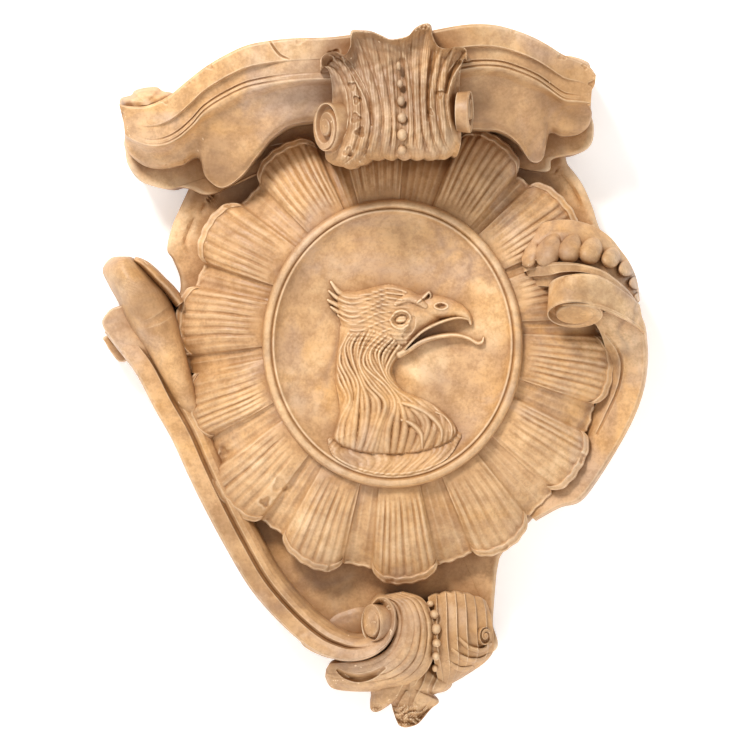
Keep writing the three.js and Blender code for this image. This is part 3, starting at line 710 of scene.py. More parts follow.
# %% The eagle's head, cut
EAGLE_LEFT, EAGLE_RIGHT, EAGLE_TOP, EAGLE_FOOT = 322.0, 488.0, 278.0, 484.0


def eagle(u, v):
    x = EAGLE_LEFT + (EAGLE_RIGHT - EAGLE_LEFT) * u
    y = EAGLE_TOP + (EAGLE_FOOT - EAGLE_TOP) * v
    height = eagle_height(x, y)
    out = np.hypot((x - MEDALLION_MIDDLE[0]) / MEDALLION_HALF[0],
                   (y - MEDALLION_MIDDLE[1]) / MEDALLION_HALF[1])
    field = np.interp((1 - out) * MEDALLION_HALF[0], rim_section[12:, 0], rim_section[12:, 1])
    sunk = np.where(height > 0.05, 0, 3.0 + 30 * ease(out, 0.86, 0.92))
    rise = field + height * 1.1 - sunk - 0.6
    return x, y, np.minimum(rise, MEDALLION_RISE + 1.5)


block("eagle_head", 276, 344, eagle, back=48, sharp=70)

# %% [markdown]
# ## The leaf over the crest
#
# An acanthus leaf climbs the crest and turns down over a roll. Its free edge runs
# through the tips. Rows from the tips downwards give height, depth and width. Ribs
# gather from the tips to the foot, and the outer ones wind round the side volutes.

# %% The leaf's free edge and its rows
# The block is 160 mm deep, and the leaf stays within it.
LEAF_LIMIT = 159.5
leaf_tips = [
    (320, 72), (321, 58), (332, 52), (344, 56), (350, 46), (351, 31), (361, 30),
    (371, 31), (381, 35), (390, 39), (400, 38), (409, 35), (415, 28), (424, 23.5),
    (431, 25), (433, 36), (438, 46), (447, 49), (456, 47), (466, 49), (467, 60),
]
# Each row: [y, rise, left x, right x, how far it still follows the tips].
leaf_rows = [
    (40, 145, 326, 460, 1.0), (47, 148, 330, 460, 0.88), (56, 141, 333, 458, 0.66),
    (68, 136, 334, 458, 0.42), (82, 135, 334, 458, 0.2), (97, 140, 333, 459, 0.06),
    (112, 149, 332, 460, 0), (128, 155, 330, 461, 0), (142, 154, 326, 461, 0),
    (152, 147, 326, 459, 0), (158, 134, 334, 456, 0), (157, 112, 340, 452, 0),
]
# Each rib: [x, y, half width, height] from its tip down to the foot.
leaf_ribs = [
    [(322, 66, 2, 2), (334, 72, 3, 4), (343, 90, 3.4, 4), (346, 112, 3.6, 4),
     (342, 134, 3.6, 4), (333, 150, 3.2, 4), (322, 157, 2.4, 2)],
    [(330, 56, 2, 2), (344, 68, 3.2, 4), (354, 90, 3.6, 4.4), (357, 114, 4, 4.4),
     (353, 138, 4, 4.4), (343, 156, 3.4, 4), (330, 164, 2.4, 2)],
    [(342, 58, 2, 2), (353, 72, 3.2, 4), (363, 92, 3.8, 4.4), (367, 116, 4, 4.4),
     (364, 140, 4, 4.4), (355, 159, 3.4, 4), (342, 168, 2.4, 2)],
    [(353, 34, 3, 2), (362, 58, 4, 3.4), (371, 84, 4.2, 4.4), (377, 110, 4.2, 4.6),
     (376, 134, 4.2, 4.4), (369, 154, 3.6, 4), (358, 167, 2.4, 2)],
    [(367, 34, 4, 2), (375, 58, 4.4, 3.4), (382, 84, 4.2, 4), (387, 110, 4, 4.4),
     (387, 136, 4, 4.4), (382, 158, 3.4, 3)],
    [(384, 40, 3, 1.6), (389, 62, 3, 2.4), (392, 88, 2.8, 3), (394, 116, 2.6, 3),
     (394, 140, 2.6, 3), (392, 158, 2.4, 2.4)],
    [(402, 40, 3, 1.6), (405, 60, 2.6, 2), (409, 88, 2.4, 3), (411, 116, 2.6, 3),
     (411, 140, 2.6, 3), (412, 157, 2.4, 2.4)],
    [(416, 32, 4, 2), (415, 56, 4, 3), (416, 84, 3.6, 4), (417, 110, 3.6, 4),
     (419, 136, 3.6, 4), (423, 157, 3, 3)],
    [(429, 29, 3.4, 2), (426, 54, 4, 3.4), (424, 82, 4, 4.4), (424, 108, 4, 4.6),
     (427, 134, 4, 4.4), (434, 156, 3, 3)],
    [(441, 50, 2.4, 3), (436, 70, 3.4, 4.4), (432, 94, 3.8, 4.4), (433, 118, 3.8, 4.6),
     (438, 140, 3.6, 4.4), (446, 156, 2.6, 2)],
    [(454, 50, 2.6, 4), (446, 66, 3.4, 5), (441, 90, 3.8, 4.6), (442, 114, 3.8, 4.6),
     (447, 138, 3.4, 4), (455, 152, 2.6, 2)],
    [(465, 55, 2.6, 4), (456, 70, 3.2, 5), (450, 92, 3.4, 4), (451, 114, 3.4, 4),
     (455, 134, 3, 3.4), (460, 146, 2.2, 2)],
]
leaf_partings = [
    [(347, 62, 2.4, -3), (358, 80, 2.6, -4), (368, 100, 2.4, -4), (372, 124, 2, -3)],
    [(435, 44, 2.4, -3), (431, 66, 3.4, -5), (428, 92, 2.4, -4), (428, 120, 2, -3)],
    [(459, 62, 3.0, -6), (450, 76, 3.0, -6), (446, 92, 2.4, -4)],
    [(402, 62, 5, -1.6), (402, 110, 6, -2.6), (402, 156, 6, -2.6)],
]
leaf_chips = [
    (326, 60, 7, 3), (352, 86, 5, 2.4), (357, 100, 5, 2.6), (356, 118, 6, 2.6),
    (360, 132, 6, 2.4), (348, 152, 6, 2.6), (440, 94, 5, 2), (430, 112, 4, 1.6),
    (424, 26, 4, 1.6), (466, 52, 5, 2), (398, 160, 5, 2), (366, 160, 6, 2),
]


def top_leaf(u, v):
    tip, row = curve(leaf_tips, u), curve(leaf_rows, v)
    across = row[:, 2] + (row[:, 3] - row[:, 2]) * u
    x = across + (tip[:, 0] - across) * row[:, 4]
    y = row[:, 0] + (tip[:, 1] - row[:, 0]) * row[:, 4]
    hang = 9 * (1 - ease(u, 0.12, 0.36)) - 4 * (1 - ease(u, 0, 0.1)) - 3 * ease(u, 0.86, 1)
    scallop = 2.4 * np.abs(np.sin(np.pi * (u * 9 + 0.3)))
    y = y + (hang + scallop) * ease(v, 0.55, 0.85)
    below = ease(v, 0.3, 0.6)
    left_fall = 26 * (1 - ease(u, 0, 0.2)) ** 1.6 * below
    right_fall = 20 * ease(u, 0.86, 1) ** 1.6 * below
    crown = 6 * np.sin(np.pi * u) ** 0.7 - 8
    rise = row[:, 1] + crown - left_fall - right_fall
    ribs = np.zeros(x.shape)
    for path in leaf_ribs:
        ribs = np.maximum(ribs, ridge(x, y, path, power=0.6))
    fine = np.abs(np.sin(np.pi * (u * 41 + 0.6 * np.sin(7 * v))))
    rise = rise + 0.62 * ribs + 0.4 * fine * (1 - ease(v, 0.85, 0.95)) + 1
    for path in leaf_partings:
        rise = rise + 0.7 * ridge(x, y, path, power=1)
    rise = rise + hand(x, y, 1.0, 2) - dent(x, y, leaf_chips)
    return x, y, np.minimum(rise, LEAF_LIMIT)


block("top_leaf", 310, 300, top_leaf, back=40, draw=0.96, sharp=60)

# %% [markdown]
# ## Volutes
#
# A volute is a disc whose face winds inwards to an eye. It is one more ring of
# columns: the groove's depth is read from the distance to the middle plus the turn,
# so it runs as a true spiral. The whole disc then faces left, right or down.

# %% A volute's face


def volute(name, x, y, rise, radius, length, turn=0.0, tip=0.0, winds=1.6, eye=0.34,
           depth=5.0, squash=1.0, phase=0.0):
    """A roll's end, radius in points, its face turned about Z and tipped about X."""
    turn, tip = math.radians(turn), math.radians(tip)
    deep = length / POINT_MM
    stops = [0, 0.12, 0.3, 0.36, 1]

    def front(u, v):
        angle = u * 2 * np.pi
        out = np.interp(v, stops, [0.3, 0.94, 1.0, 0.97, 0.0])
        above = np.interp(v, stops, [-deep, -deep, -1.5, 0, 0])
        wound = out * winds + u + phase
        groove = ease(np.abs((wound % 1) - 0.5), 0.12, 0.34)
        sunk = depth / POINT_MM * (1 - groove) * ease(out, eye, eye + 0.08)
        sunk = sunk * (1 - ease(out, 0.9, 0.98)) * ease(v, 0.34, 0.38)
        dome = 1.8 * np.clip(1 - (out / eye) ** 2, 0, 1) ** 0.5 * ease(v, 0.4, 0.5)
        normal = above - sunk + dome
        a, b = np.cos(angle) * out * radius, np.sin(angle) * out * radius * squash
        b, normal = (b * math.cos(tip) + normal * math.sin(tip),
                     normal * math.cos(tip) - b * math.sin(tip))
        a, normal = (a * math.cos(turn) - normal * math.sin(turn),
                     normal * math.cos(turn) + a * math.sin(turn))
        px, py = x + a, y - b
        return px, py, rise + normal * POINT_MM + hand(px, py, 0.3)

    return skin(name, 144, 90, front, sharp=60)


# %% The volutes of the top leaf
volute("top_volute_left", 325, 127, 136, 24, 30, turn=60, squash=1.02, depth=4.5)
volute("top_volute_right", 471, 112, 132, 21, 11, turn=-82, depth=4)

# %% [markdown]
# ## Beads
#
# A row of beads runs down the middle of each leaf, large in the middle and small at
# the ends. They are plain spheres, stretched and set half into the leaf.

# %% Beads


def beads(name, rows):
    """Beads as rows [x, y, rise, half width, half height, half depth in mm]."""
    tool = bmesh.new()
    for x, y, rise, wide, high, deep in rows:
        ball = bmesh.ops.create_uvsphere(tool, u_segments=36, v_segments=22, radius=1)
        bmesh.ops.scale(tool, verts=ball["verts"],
                        vec=(wide * POINT, deep * MM, high * POINT))
        place = at(x, y, rise).reshape(3)
        bmesh.ops.translate(tool, verts=ball["verts"], vec=Vector(place))
    return finish_piece(name, tool)


beads("top_beads", [
    (398.5, 66, 138, 2.6, 4.6, 3), (400, 84, 140, 3.0, 4.4, 3.4),
    (401, 101, 146, 3.8, 5.4, 4), (402, 118, 152, 4.6, 5.4, 4.6),
    (402, 135, 154, 5.0, 6.0, 5), (402, 150, 148, 4.8, 5.4, 5),
])

# %% [markdown]
# ## The long scroll on the left
#
# A band runs down the left side and curls into a volute at the foot. Its outer strip
# is flat with a sharp arris, a deep quirk parts it from the rounded inner part, and
# that slopes to the ground. At its head the band rolls over into a smooth bulb.

# %% The band
# Rows: [x, y, width, rise] along the outer edge, from the head to the foot.
band_line = [
    (104, 332, 40, 58), (118, 350, 42, 60), (136, 374, 43, 62), (154, 408, 42, 62),
    (172, 440, 42, 62), (187, 473, 41, 62), (203, 506, 40, 62), (225, 547, 38, 62),
    (251, 590, 36, 64), (282, 625, 34, 68), (312, 650, 33, 74), (337, 660, 30, 80),
    (357, 661, 26, 86), (374, 656, 23, 90), (388, 645, 20, 92), (396, 628, 18, 93),
    (396, 610, 16, 92), (388, 598, 14, 90), (378, 597, 12, 87), (371, 604, 9, 84),
]
# Rows across it: [share of the width, drop below the arris in mm].
band_section = np.array([
    (0, 9), (0.015, 3), (0.05, 0.4), (0.1, 0), (0.3, 1.0), (0.43, 2.2), (0.465, 7.5),
    (0.5, 8.5), (0.54, 6), (0.6, 4.6), (0.72, 5.6), (0.84, 9), (0.95, 16), (1, 26),
])
band_chips = [(121, 356, 5, 1.5), (236, 568, 5, 1.5), (150, 402, 4, 1.2)]


def band(u, v):
    row, (way_x, way_y) = curve(band_line, v), heading(band_line, v)
    curl = ease(v, 0.55, 0.72)
    x = row[:, 0] + way_y * u * row[:, 2]
    y = row[:, 1] - way_x * u * row[:, 2]
    drop = np.interp(u, band_section[:, 0], band_section[:, 1])
    tight = np.interp(u, [0, 0.04, 0.12, 0.3, 0.6, 0.85, 1], [8, 1, 0, 1.5, 7, 12, 22])
    rise = row[:, 3] - drop * (1 - curl) - tight * curl
    return x, y, rise + hand(x, y, 0.4, 1.3) - dent(x, y, band_chips)


block("left_band", 80, 560, band, back=0.9, sharp=50)

# %% Rounded strips


def rib(name, path, foot, around=40, along=150):
    """A rounded strip along a path of rows [x, y, half width, rise]."""

    def front(u, v):
        row, (way_x, way_y) = curve(path, v), heading(path, v)
        side = (2 * u - 1) * row[:, 2]
        x, y = row[:, 0] - way_y * side, row[:, 1] + way_x * side
        round_top = np.clip(1 - (2 * u - 1) ** 2, 0, 1) ** 0.5
        return x, y, foot + (row[:, 3] - foot) * (0.45 + 0.55 * round_top) + hand(x, y, 0.3)

    return block(name, around, along, front, back=foot * 0.4, sharp=60)


# %% The head of the scroll: stub, heel and bulb
mound("left_stub", [(105, 336), (106, 344), (110, 351), (117, 360), (121, 362),
                    (127, 360), (150, 350), (140, 330)],
      [(0.9, 2), (1, 2), (1, 26), (0.96, 30), (0.3, 31)], 90, 40,
      lambda x, y: hand(x, y, 0.5))
heel = [
    (119, 306), (111, 309), (106, 314), (102, 321), (103.5, 328), (109, 336),
    (118, 349), (132, 366), (148, 366), (152, 340), (144, 318), (130, 304),
]
mound("left_heel", heel,
      [(0.9, 2.6), (1, 2.6), (1, 53), (0.985, 58), (0.96, 59.6), (0.3, 60.4)], 200, 70,
      lambda x, y: hand(x, y, 0.4) - 7 * ease(y, 338, 366))
# The bulb runs on downwards as the band's rounded inner strip.
bulb_left = [
    (124, 256.3), (111, 258), (102.5, 270), (109, 286), (118, 302), (125, 318), (134, 333),
    (145, 348), (155, 366), (165, 384), (175, 404), (185, 424),
]
bulb_right = [
    (130, 256.5), (136, 259.5), (146, 268), (156, 280), (167, 293), (175, 312), (181, 334),
    (186, 352), (190, 370), (195, 388), (201, 406), (207, 424),
]
bulb_rise = [[56], [72], [80], [84], [84], [81], [77], [73], [70], [67], [61], [50]]
bulb_edge = [[36], [30], [30], [36], [44], [50], [52], [53], [53], [52], [48], [38]]


def bulb(u, v):
    x, y = between(bulb_left, bulb_right, v, u)
    round_top = np.clip(1 - (2 * u - 1) ** 2, 0, 1) ** 0.5
    low, high = curve(bulb_edge, v)[:, 0], curve(bulb_rise, v)[:, 0]
    # A shallow crease where the bulb rolls over into the strip.
    crease = ridge(x, y, [(136, 327, 3, -0.2), (150, 323, 4, -0.9), (162, 317, 5, -1.5),
                          (175, 307, 5, -1.8)], power=1)
    worn = np.exp(-((x - 126) ** 2 + (y - 288) ** 2) / 300)
    pits = np.clip(np.sin(x * 1.9) * np.sin(y * 2.3 + x), 0.55, 1) - 0.55
    rise = low + (high - low) * round_top**0.9 + crease
    return x, y, rise + hand(x, y, 0.6) - pits * worn


block("left_bulb", 100, 300, bulb, back=3.4, sharp=60)
rib("left_bulb_rim", [(134, 259.5, 3.4, 64), (142, 263.5, 4.6, 69), (150, 270.5, 5.2, 71),
                      (159, 280, 5.4, 72), (169, 290, 5.4, 71), (180, 304, 5.2, 66)], 40)

# %% The field inside the foot volute, and its eye
mound("foot_field", [(300, 640), (318, 612), (345, 600), (372, 596), (392, 606),
                     (392, 630), (376, 652), (350, 660), (322, 656)],
      [(0.9, 2), (1, 2), (1, 20), (0.8, 29.5), (0.5, 33), (0.2, 35)], 120, 50,
      lambda x, y: hand(x, y, 0.4))
volute("foot_volute_eye", 371, 623, 84, 19, 20, turn=58, winds=0.9, eye=0.72, depth=4)

# %% [markdown]
# ## The scroll on the right
#
# This scroll climbs beside the collar, bends forwards and ends in an upright roll.
# The roll's lower face leans to the viewer and shows a rim and an eye. A stepped
# fillet runs over it, and a row of gadroons swells above like a crest.

# %% The rising band
right_outer = [
    (638, 309), (645, 324), (647.5, 342), (648, 362), (644, 390), (634, 418), (618, 448),
    (596, 483), (580, 502), (560, 508), (536, 521),
]
right_inner = [
    (588, 314), (598, 328), (604, 343), (607, 360), (603, 386), (594, 408), (582, 430),
    (567, 452), (549, 470), (530, 486), (508, 498),
]
right_line = [(606, 334, 1.4, -1.0), (617, 348, 1.6, -1.6), (622, 364, 1.6, -1.8),
              (619, 386, 1.6, -1.8), (609, 410, 1.6, -1.6), (597, 434, 1.4, -1.0)]
right_rise = [[81], [77], [70], [65], [60], [56], [53], [51], [49], [48], [46]]


def right_band(u, v):
    x, y = between(right_outer, right_inner, v, u)
    drop = np.interp(u, [0, 0.04, 0.1, 0.25, 0.5, 0.75, 1], [8, 2, 0, 0.6, 2.4, 6, 12])
    rise = curve(right_rise, v)[:, 0] - drop + ridge(x, y, right_line, power=1)
    return x, y, rise + hand(x, y, 0.4)


block("right_band", 60, 300, right_band, back=0.7)

# %% The roll, its lip and its face
roll_top = [
    (554, 281), (562, 277), (575, 274), (590, 274), (604, 278), (618, 286), (632, 297),
    (640, 305),
]
roll_lip = [
    (548.5, 311), (560, 306.5), (573, 306), (587, 307), (602, 309.5), (617, 315.5),
    (631, 323), (645, 334),
]
roll_rise = [[76], [104], [113], [113], [108], [102], [94], [85]]


def roll(u, v):
    x, y = between(roll_top, roll_lip, u, v)
    x = x - 3 * np.sin(np.pi * v) * (1 - u) ** 4
    rise = curve(roll_rise, u)[:, 0] - 3 + 5 * v * (1 - 0.6 * v)
    rise = rise - 2.2 * (1 - ease(v, 0.0, 0.06)) + 1.6 * ease(v, 0.84, 0.9)
    rise = rise - 1.0 * ease(v, 0.955, 1.0)
    return x, y, rise + hand(x, y, 0.35)


block("right_roll", 260, 90, roll, back=30)
volute("right_roll_face", 575, 315, 97, 28, 26, tip=-62, winds=1.0, eye=0.66, depth=5,
       phase=0.25)

# %% The fillet over the roll and the gadroons
fillet_outer = [
    (525, 268), (534, 265.5), (546, 263.5), (560, 262), (575, 263), (590, 266),
    (604, 271), (617, 280), (628, 290), (638, 303),
]
fillet_inner = [
    (531, 285), (541, 286), (553, 286), (564, 282), (577, 280), (590, 281),
    (603, 285), (615, 293), (627, 304), (637, 316),
]


def fillet(u, v):
    x, y = between(fillet_outer, fillet_inner, u, v)
    bow = curve([[74], [84], [96], [100], [100], [97], [91], [82]], u)[:, 0]
    step = np.interp(v, [0, 0.1, 0.5, 0.58, 0.68, 1], [0.2, 1, 1, -0.9, -1, -1])
    return x, y, bow + 2.6 * step + hand(x, y, 0.3)


block("right_fillet", 240, 50, fillet, back=20)
gadroon_top = [
    (520, 252), (523, 243), (531, 232), (543, 223), (557, 220), (571, 220),
    (585, 223), (599, 229), (611, 238), (620, 249), (630, 263), (637, 280), (640, 301),
]
gadroon_foot = [
    (524, 272), (530, 270), (539, 269), (550, 267.5), (561, 266), (572, 266),
    (583, 267.5), (595, 271), (606, 275), (616, 281), (624, 288), (631, 295), (637, 304),
]
# The gadroons: [x of the lower end, y of it, x of its top, y, half width, its height].
gadroons = [
    (528, 260, 534, 245, 8.8, 5.5), (547, 256, 554, 240, 13.4, 7.2),
    (569, 253, 574, 239, 12.2, 7.6), (590, 254, 594, 243, 12.4, 7.6),
    (610.5, 260, 613, 252, 10, 7.6), (626, 270, 627, 264, 8.4, 7.4),
    (635, 284, 635, 280, 6.8, 7), (638.5, 298, 639, 296, 4.8, 5),
]


def gadroon_crest(u, v):
    x, y = between(gadroon_top, gadroon_foot, u, v)
    cap = 62 + 10 * np.sin(np.pi * np.clip(u * 1.15, 0, 1)) + 20 * np.sin(np.pi * v * 0.5)
    cap = cap - 8 * ease(u, 0.6, 1)
    height = np.zeros(x.shape)
    for low_x, low_y, high_x, high_y, half, high in gadroons:
        drop = ridge(x, y, [(high_x, high_y, half * 0.5, high * 0.1),
                            ((low_x + high_x) / 2, (low_y + high_y) / 2, half * 0.85, high),
                            (low_x, low_y - 1, half * 0.95, high * 1.15)])
        height = np.maximum(height, drop)
    hollow = 3 * (1 - ease(height, 0, 3)) * ease(v, 0.25, 0.5)
    return x, y, cap + height - hollow + hand(x, y, 0.3)


block("right_gadroons", 320, 130, gadroon_crest, back=10, sharp=60)

# %% [markdown]
# ## The leaf at the foot
#
# The lower leaf has three parts: a lobe whose flutes wind round the foot volute, a
# fan of long flutes on the right, and a broken tip between them. The tip stays
# broken, with a rough face, as the stone is.

# %% The lobe round the volute
lobe_inner = [
    (378, 598, 80), (391, 604, 85), (397, 618, 88), (395, 635, 88), (386, 650, 86),
    (370, 659, 82), (352, 662, 74), (339, 663, 62), (330, 664, 50), (326, 669, 42),
]
lobe_outer = [
    (404, 592, 68), (424, 600, 76), (434, 622, 82), (435, 646, 82), (429, 668, 74),
    (410, 685, 64), (382, 691, 56), (352, 691.5, 50), (332, 688, 46), (325, 677, 42),
]


def foot_lobe(u, v):
    x, y, lift = between(lobe_inner, lobe_outer, v, u)
    swell = 9 * np.sin(np.pi * u) ** 0.8 * (1 - 0.5 * ease(v, 0.7, 1))
    groove = 2.4 * np.abs(np.sin(np.pi * (u * 6 + 0.3 * np.sin(5 * v)))) ** 0.7
    groove = groove * (1 - 0.75 * ease(v, 0.5, 0.85)) * (0.6 + 0.4 * np.cos(7 * u + 3 * v))
    fold = ridge(x, y, [(384, 668, 2, -2), (372, 675, 4, -6), (358, 678, 4.5, -7),
                        (345, 675, 3.5, -5), (338, 670, 2, -2)], power=1)
    rise = lift + swell + groove - 3 + fold
    return x, y, rise + hand(x, y, 0.5, 1.4)


block("foot_lobe", 110, 340, foot_lobe, back=16, draw=0.97, sharp=60)

# %% The broken tip
tip_outline = [
    (372, 688), (371, 696), (370, 703), (370.5, 709), (374, 712), (380, 711), (388, 706),
    (391, 704), (393, 711), (397, 722), (400, 726), (406, 727.5), (415, 725.5),
    (421, 721), (431, 709), (439, 702), (434, 695), (446, 691), (452, 685), (450, 678),
    (440, 668), (425, 655), (405, 655), (388, 668),
]
tip_veins = [
    [(412, 660, 2.5, -2), (408, 680, 3, -3), (398, 700, 2.5, -2.4), (394, 708, 2, -2)],
    [(425, 660, 2.5, -2), (421, 680, 3, -3), (412, 698, 3, -3), (409, 716, 2, -2)],
    [(440, 672, 2.6, -5), (444, 675, 3.4, -7), (447, 676, 2.6, -5)],
    [(436, 676, 2.2, -2), (430, 690, 2.4, -3), (433, 696, 2, -3)],
]


def tip_cut(x, y):
    cut = 0.7 * sum(ridge(x, y, line, power=1) for line in tip_veins)
    broken = ease(y, 700, 712)
    rough = 1.7 * np.sin(x * 0.41 + 2.3 * np.sin(y * 0.29 + 1)) * np.sin(
        y * 0.47 + 1.7 * np.sin(x * 0.31))
    rough = rough + 0.7 * np.sin(x * 1.07 + 2.1 * np.sin(y * 0.71)) * np.sin(
        y * 1.21 + 1.9 * np.sin(x * 0.93))
    fall = 16 * ease(y, 672, 725)
    return cut + 1.4 * broken * rough - fall + hand(x, y, 0.6, 2)


mound("foot_tip", tip_outline,
      [(0.85, 14), (0.97, 18), (1, 26), (1, 44), (0.97, 50), (0.9, 56), (0.7, 62),
       (0.4, 66), (0.2, 67)], 330, 120, tip_cut, middle=(410, 688), sharp=60)

# %% The fan of long flutes
fan_left = [
    (428, 598, 66), (430, 612, 78), (431, 628, 84), (432, 644, 86), (434, 660, 80),
    (437, 675, 68), (440, 690, 54),
]
fan_right = [
    (486, 601, 50), (490, 612, 60), (492.5, 626, 66), (494, 640, 64), (493, 652, 56),
    (483, 664, 46), (462, 678, 42),
]
# The layered folds at the fan's lower right.
fan_folds = [
    [(458, 638, 2, 1), (470, 648, 2.6, 4), (482, 650, 2.6, 5), (490, 644, 2, 3)],
    [(452, 650, 2, 1), (466, 659, 2.6, 4), (480, 660, 2.6, 4), (489, 655, 2, 2)],
    [(448, 662, 2, 1), (460, 669, 2.6, 3), (472, 668, 2.4, 2)],
]


def fan(u, v):
    x, y, lift = between(fan_left, fan_right, v, u)
    y = y - (6 * np.sin(np.pi * u) + 1.5 * np.abs(np.sin(np.pi * u * 5))) * (1 - ease(v, 0, 0.3))
    swell = 14 * np.sin(np.pi * (0.12 + 0.76 * u))
    saw = (u * 6.2 + 0.35 * np.sin(3 * v)) % 1
    flute = 4.2 * saw**1.5 * (1 - ease(saw, 0.9, 1)) * (1 - 0.8 * ease(v, 0.55, 0.9))
    folds = sum(ridge(x, y, path) for path in fan_folds)
    rise = lift + swell + flute + folds - 10
    return x, y, rise + hand(x, y, 0.5, 1.4)


block("foot_fan", 170, 220, fan, back=10, draw=0.98, sharp=50)
volute("foot_curl", 486, 636, 72, 9, 16, turn=-48, winds=1.2, depth=3)
beads("foot_beads", [
    (430, 604, 75, 3.6, 3.6, 4), (434, 614.5, 80, 4.6, 4.6, 5),
    (436, 629, 83, 4.8, 5.6, 5), (436.5, 643, 84, 4.4, 4.4, 5),
    (436, 656, 80, 4.0, 4.6, 5), (435, 668, 71, 3.0, 4.0, 4),
])

# %% [markdown]
# ## The marble: building with nodes
#
# The stone is a warm brown marble with soft clouds, thin grey-mauve veins and a fine
# grain. Painted shade darkens the recesses and creases, soft patches are partly stains
# and partly painted shade, and worn arrises show pale. Each effect is a group that puts
# out colours or masks. The shader itself stays in the material.

# %% A helper for nodes


def add(tree, kind, values=None, **settings):
    """A node with its settings, its inputs set to values or joined to sockets."""
    made = tree.nodes.new(kind)
    for key, value in settings.items():
        setattr(made, key, value)
    for key, value in (values or {}).items():
        if isinstance(value, bpy.types.NodeSocket):
            tree.links.new(value, made.inputs[key])
        else:
            made.inputs[key].default_value = value
    return made


def group(name, inputs, outputs):
    """An empty node group with named inputs and outputs."""
    tree = bpy.data.node_groups.new(name, "ShaderNodeTree")
    for label, kind, value in inputs:
        socket = tree.interface.new_socket(label, in_out="INPUT", socket_type=kind)
        if value is not None:
            socket.default_value = value
    for label, kind in outputs:
        tree.interface.new_socket(label, in_out="OUTPUT", socket_type=kind)
    return tree, tree.nodes.new("NodeGroupInput"), tree.nodes.new("NodeGroupOutput")


def ramp(tree, factor, stops):
    """A colour ramp with stops [place, colour]."""
    made = add(tree, "ShaderNodeValToRGB", {"Fac": factor})
    band_stops = made.color_ramp.elements
    while len(band_stops) < len(stops):
        band_stops.new(0.5)
    for stop, (place, colour) in zip(band_stops, stops):
        stop.position = place
        stop.color = (*colour, 1)
    return made.outputs["Color"]


def blend(tree, factor, a, b, mode="MIX"):
    """Two colours mixed by a factor."""
    made = add(tree, "ShaderNodeMix", data_type="RGBA", blend_type=mode)
    for key, value in (("Factor", factor), ("A", a), ("B", b)):
        socket = [s for s in made.inputs if s.name == key and s.enabled][0]
        if isinstance(value, bpy.types.NodeSocket):
            tree.links.new(value, socket)
        elif key == "Factor":
            socket.default_value = value
        else:
            socket.default_value = (*value, 1)
    return [s for s in made.outputs if s.enabled][0]


def maths(tree, operation, a, b=0.5, clamp=False):
    """One sum on two values."""
    made = add(tree, "ShaderNodeMath", {0: a, 1: b}, operation=operation, use_clamp=clamp)
    return made.outputs["Value"]


def noise(tree, place, scale, detail, roughness=0.5, distortion=0.0):
    """A cloudy noise read at a place."""
    return add(tree, "ShaderNodeTexNoise", {
        "Vector": place, "Scale": scale, "Detail": detail, "Roughness": roughness,
        "Distortion": distortion}).outputs


def remap(tree, value, low, high, start=0.0, end=1.0):
    """A value between low and high laid out from start to end, and held there."""
    return add(tree, "ShaderNodeMapRange", {
        "Value": value, "From Min": low, "From Max": high, "To Min": start,
        "To Max": end}).outputs["Result"]


print("node helpers ready")

# %% [markdown]
# ## Clouds and veins
#
# The clouds are two noises of different size. A vein is the line where a warped noise
# crosses its middle value: the distance from that value gives a thin soft line.

# %% The group for clouds and veins
CREAM, TAN, BROWN = (0.86, 0.60, 0.345), (0.72, 0.44, 0.215), (0.46, 0.24, 0.095)
AMBER, MAUVE = (0.60, 0.355, 0.17), (0.31, 0.19, 0.135)
HAZE, OCHRE = (0.52, 0.375, 0.295), (0.70, 0.385, 0.135)
veining, given, result = group(
    "clouds_and_veins",
    [("Place", "NodeSocketVector", None), ("Vein Strength", "NodeSocketFloat", 0.5)],
    [("Colour", "NodeSocketColor"), ("Vein", "NodeSocketFloat")])
spot = given.outputs["Place"]
clouds = noise(veining, spot, 9.0, 5.0, 0.55, 0.6)["Fac"]
flecks = noise(veining, spot, 48.0, 6.0, 0.62, 0.3)["Fac"]
cloud_mix = maths(veining, "ADD", maths(veining, "MULTIPLY", clouds, 0.68),
                  maths(veining, "MULTIPLY", flecks, 0.32))
stone_colour = ramp(veining, cloud_mix, [
    (0.32, BROWN), (0.43, AMBER), (0.52, TAN), (0.62, CREAM)])
# Ochre patches and a grey-mauve haze lie over the clouds.
for tint, scale, low, high, share in ((OCHRE, 14.0, 0.50, 0.68, 0.65),
                                      (HAZE, 10.0, 0.52, 0.70, 0.75)):
    shifted = add(veining, "ShaderNodeVectorMath", {
        0: spot, 1: (scale, 0.3 * scale, 0.7 * scale)}, operation="ADD")
    spread = noise(veining, shifted.outputs[0], scale, 6.0, 0.62, 0.8)["Fac"]
    mask = maths(veining, "MULTIPLY", remap(veining, spread, low, high), share)
    stone_colour = blend(veining, mask, stone_colour, tint)
warp = noise(veining, spot, 5.0, 3.0)["Color"]
bent = add(veining, "ShaderNodeVectorMath", {0: warp, 1: (0.5, 0.5, 0.5)},
           operation="SUBTRACT")
bent = add(veining, "ShaderNodeVectorMath", {0: bent.outputs[0], "Scale": 0.22},
           operation="SCALE")
bent = add(veining, "ShaderNodeVectorMath", {0: spot, 1: bent.outputs[0]},
           operation="ADD")
vein_masks = []
for scale, thin, share in ((6.5, 24.0, 0.6), (15.0, 17.0, 0.4)):
    line = noise(veining, bent.outputs[0], scale, 2.5)["Fac"]
    away = maths(veining, "ABSOLUTE", maths(veining, "SUBTRACT", line, 0.5))
    near = maths(veining, "SUBTRACT", 1.0, maths(veining, "MULTIPLY", away, thin), True)
    vein_masks.append(maths(veining, "MULTIPLY", near, share))
patches = remap(veining, noise(veining, spot, 7.0, 2.0)["Fac"], 0.42, 0.62)
vein = maths(veining, "MULTIPLY", maths(veining, "MAXIMUM", *vein_masks), patches)
vein = maths(veining, "MULTIPLY", vein, given.outputs["Vein Strength"], True)
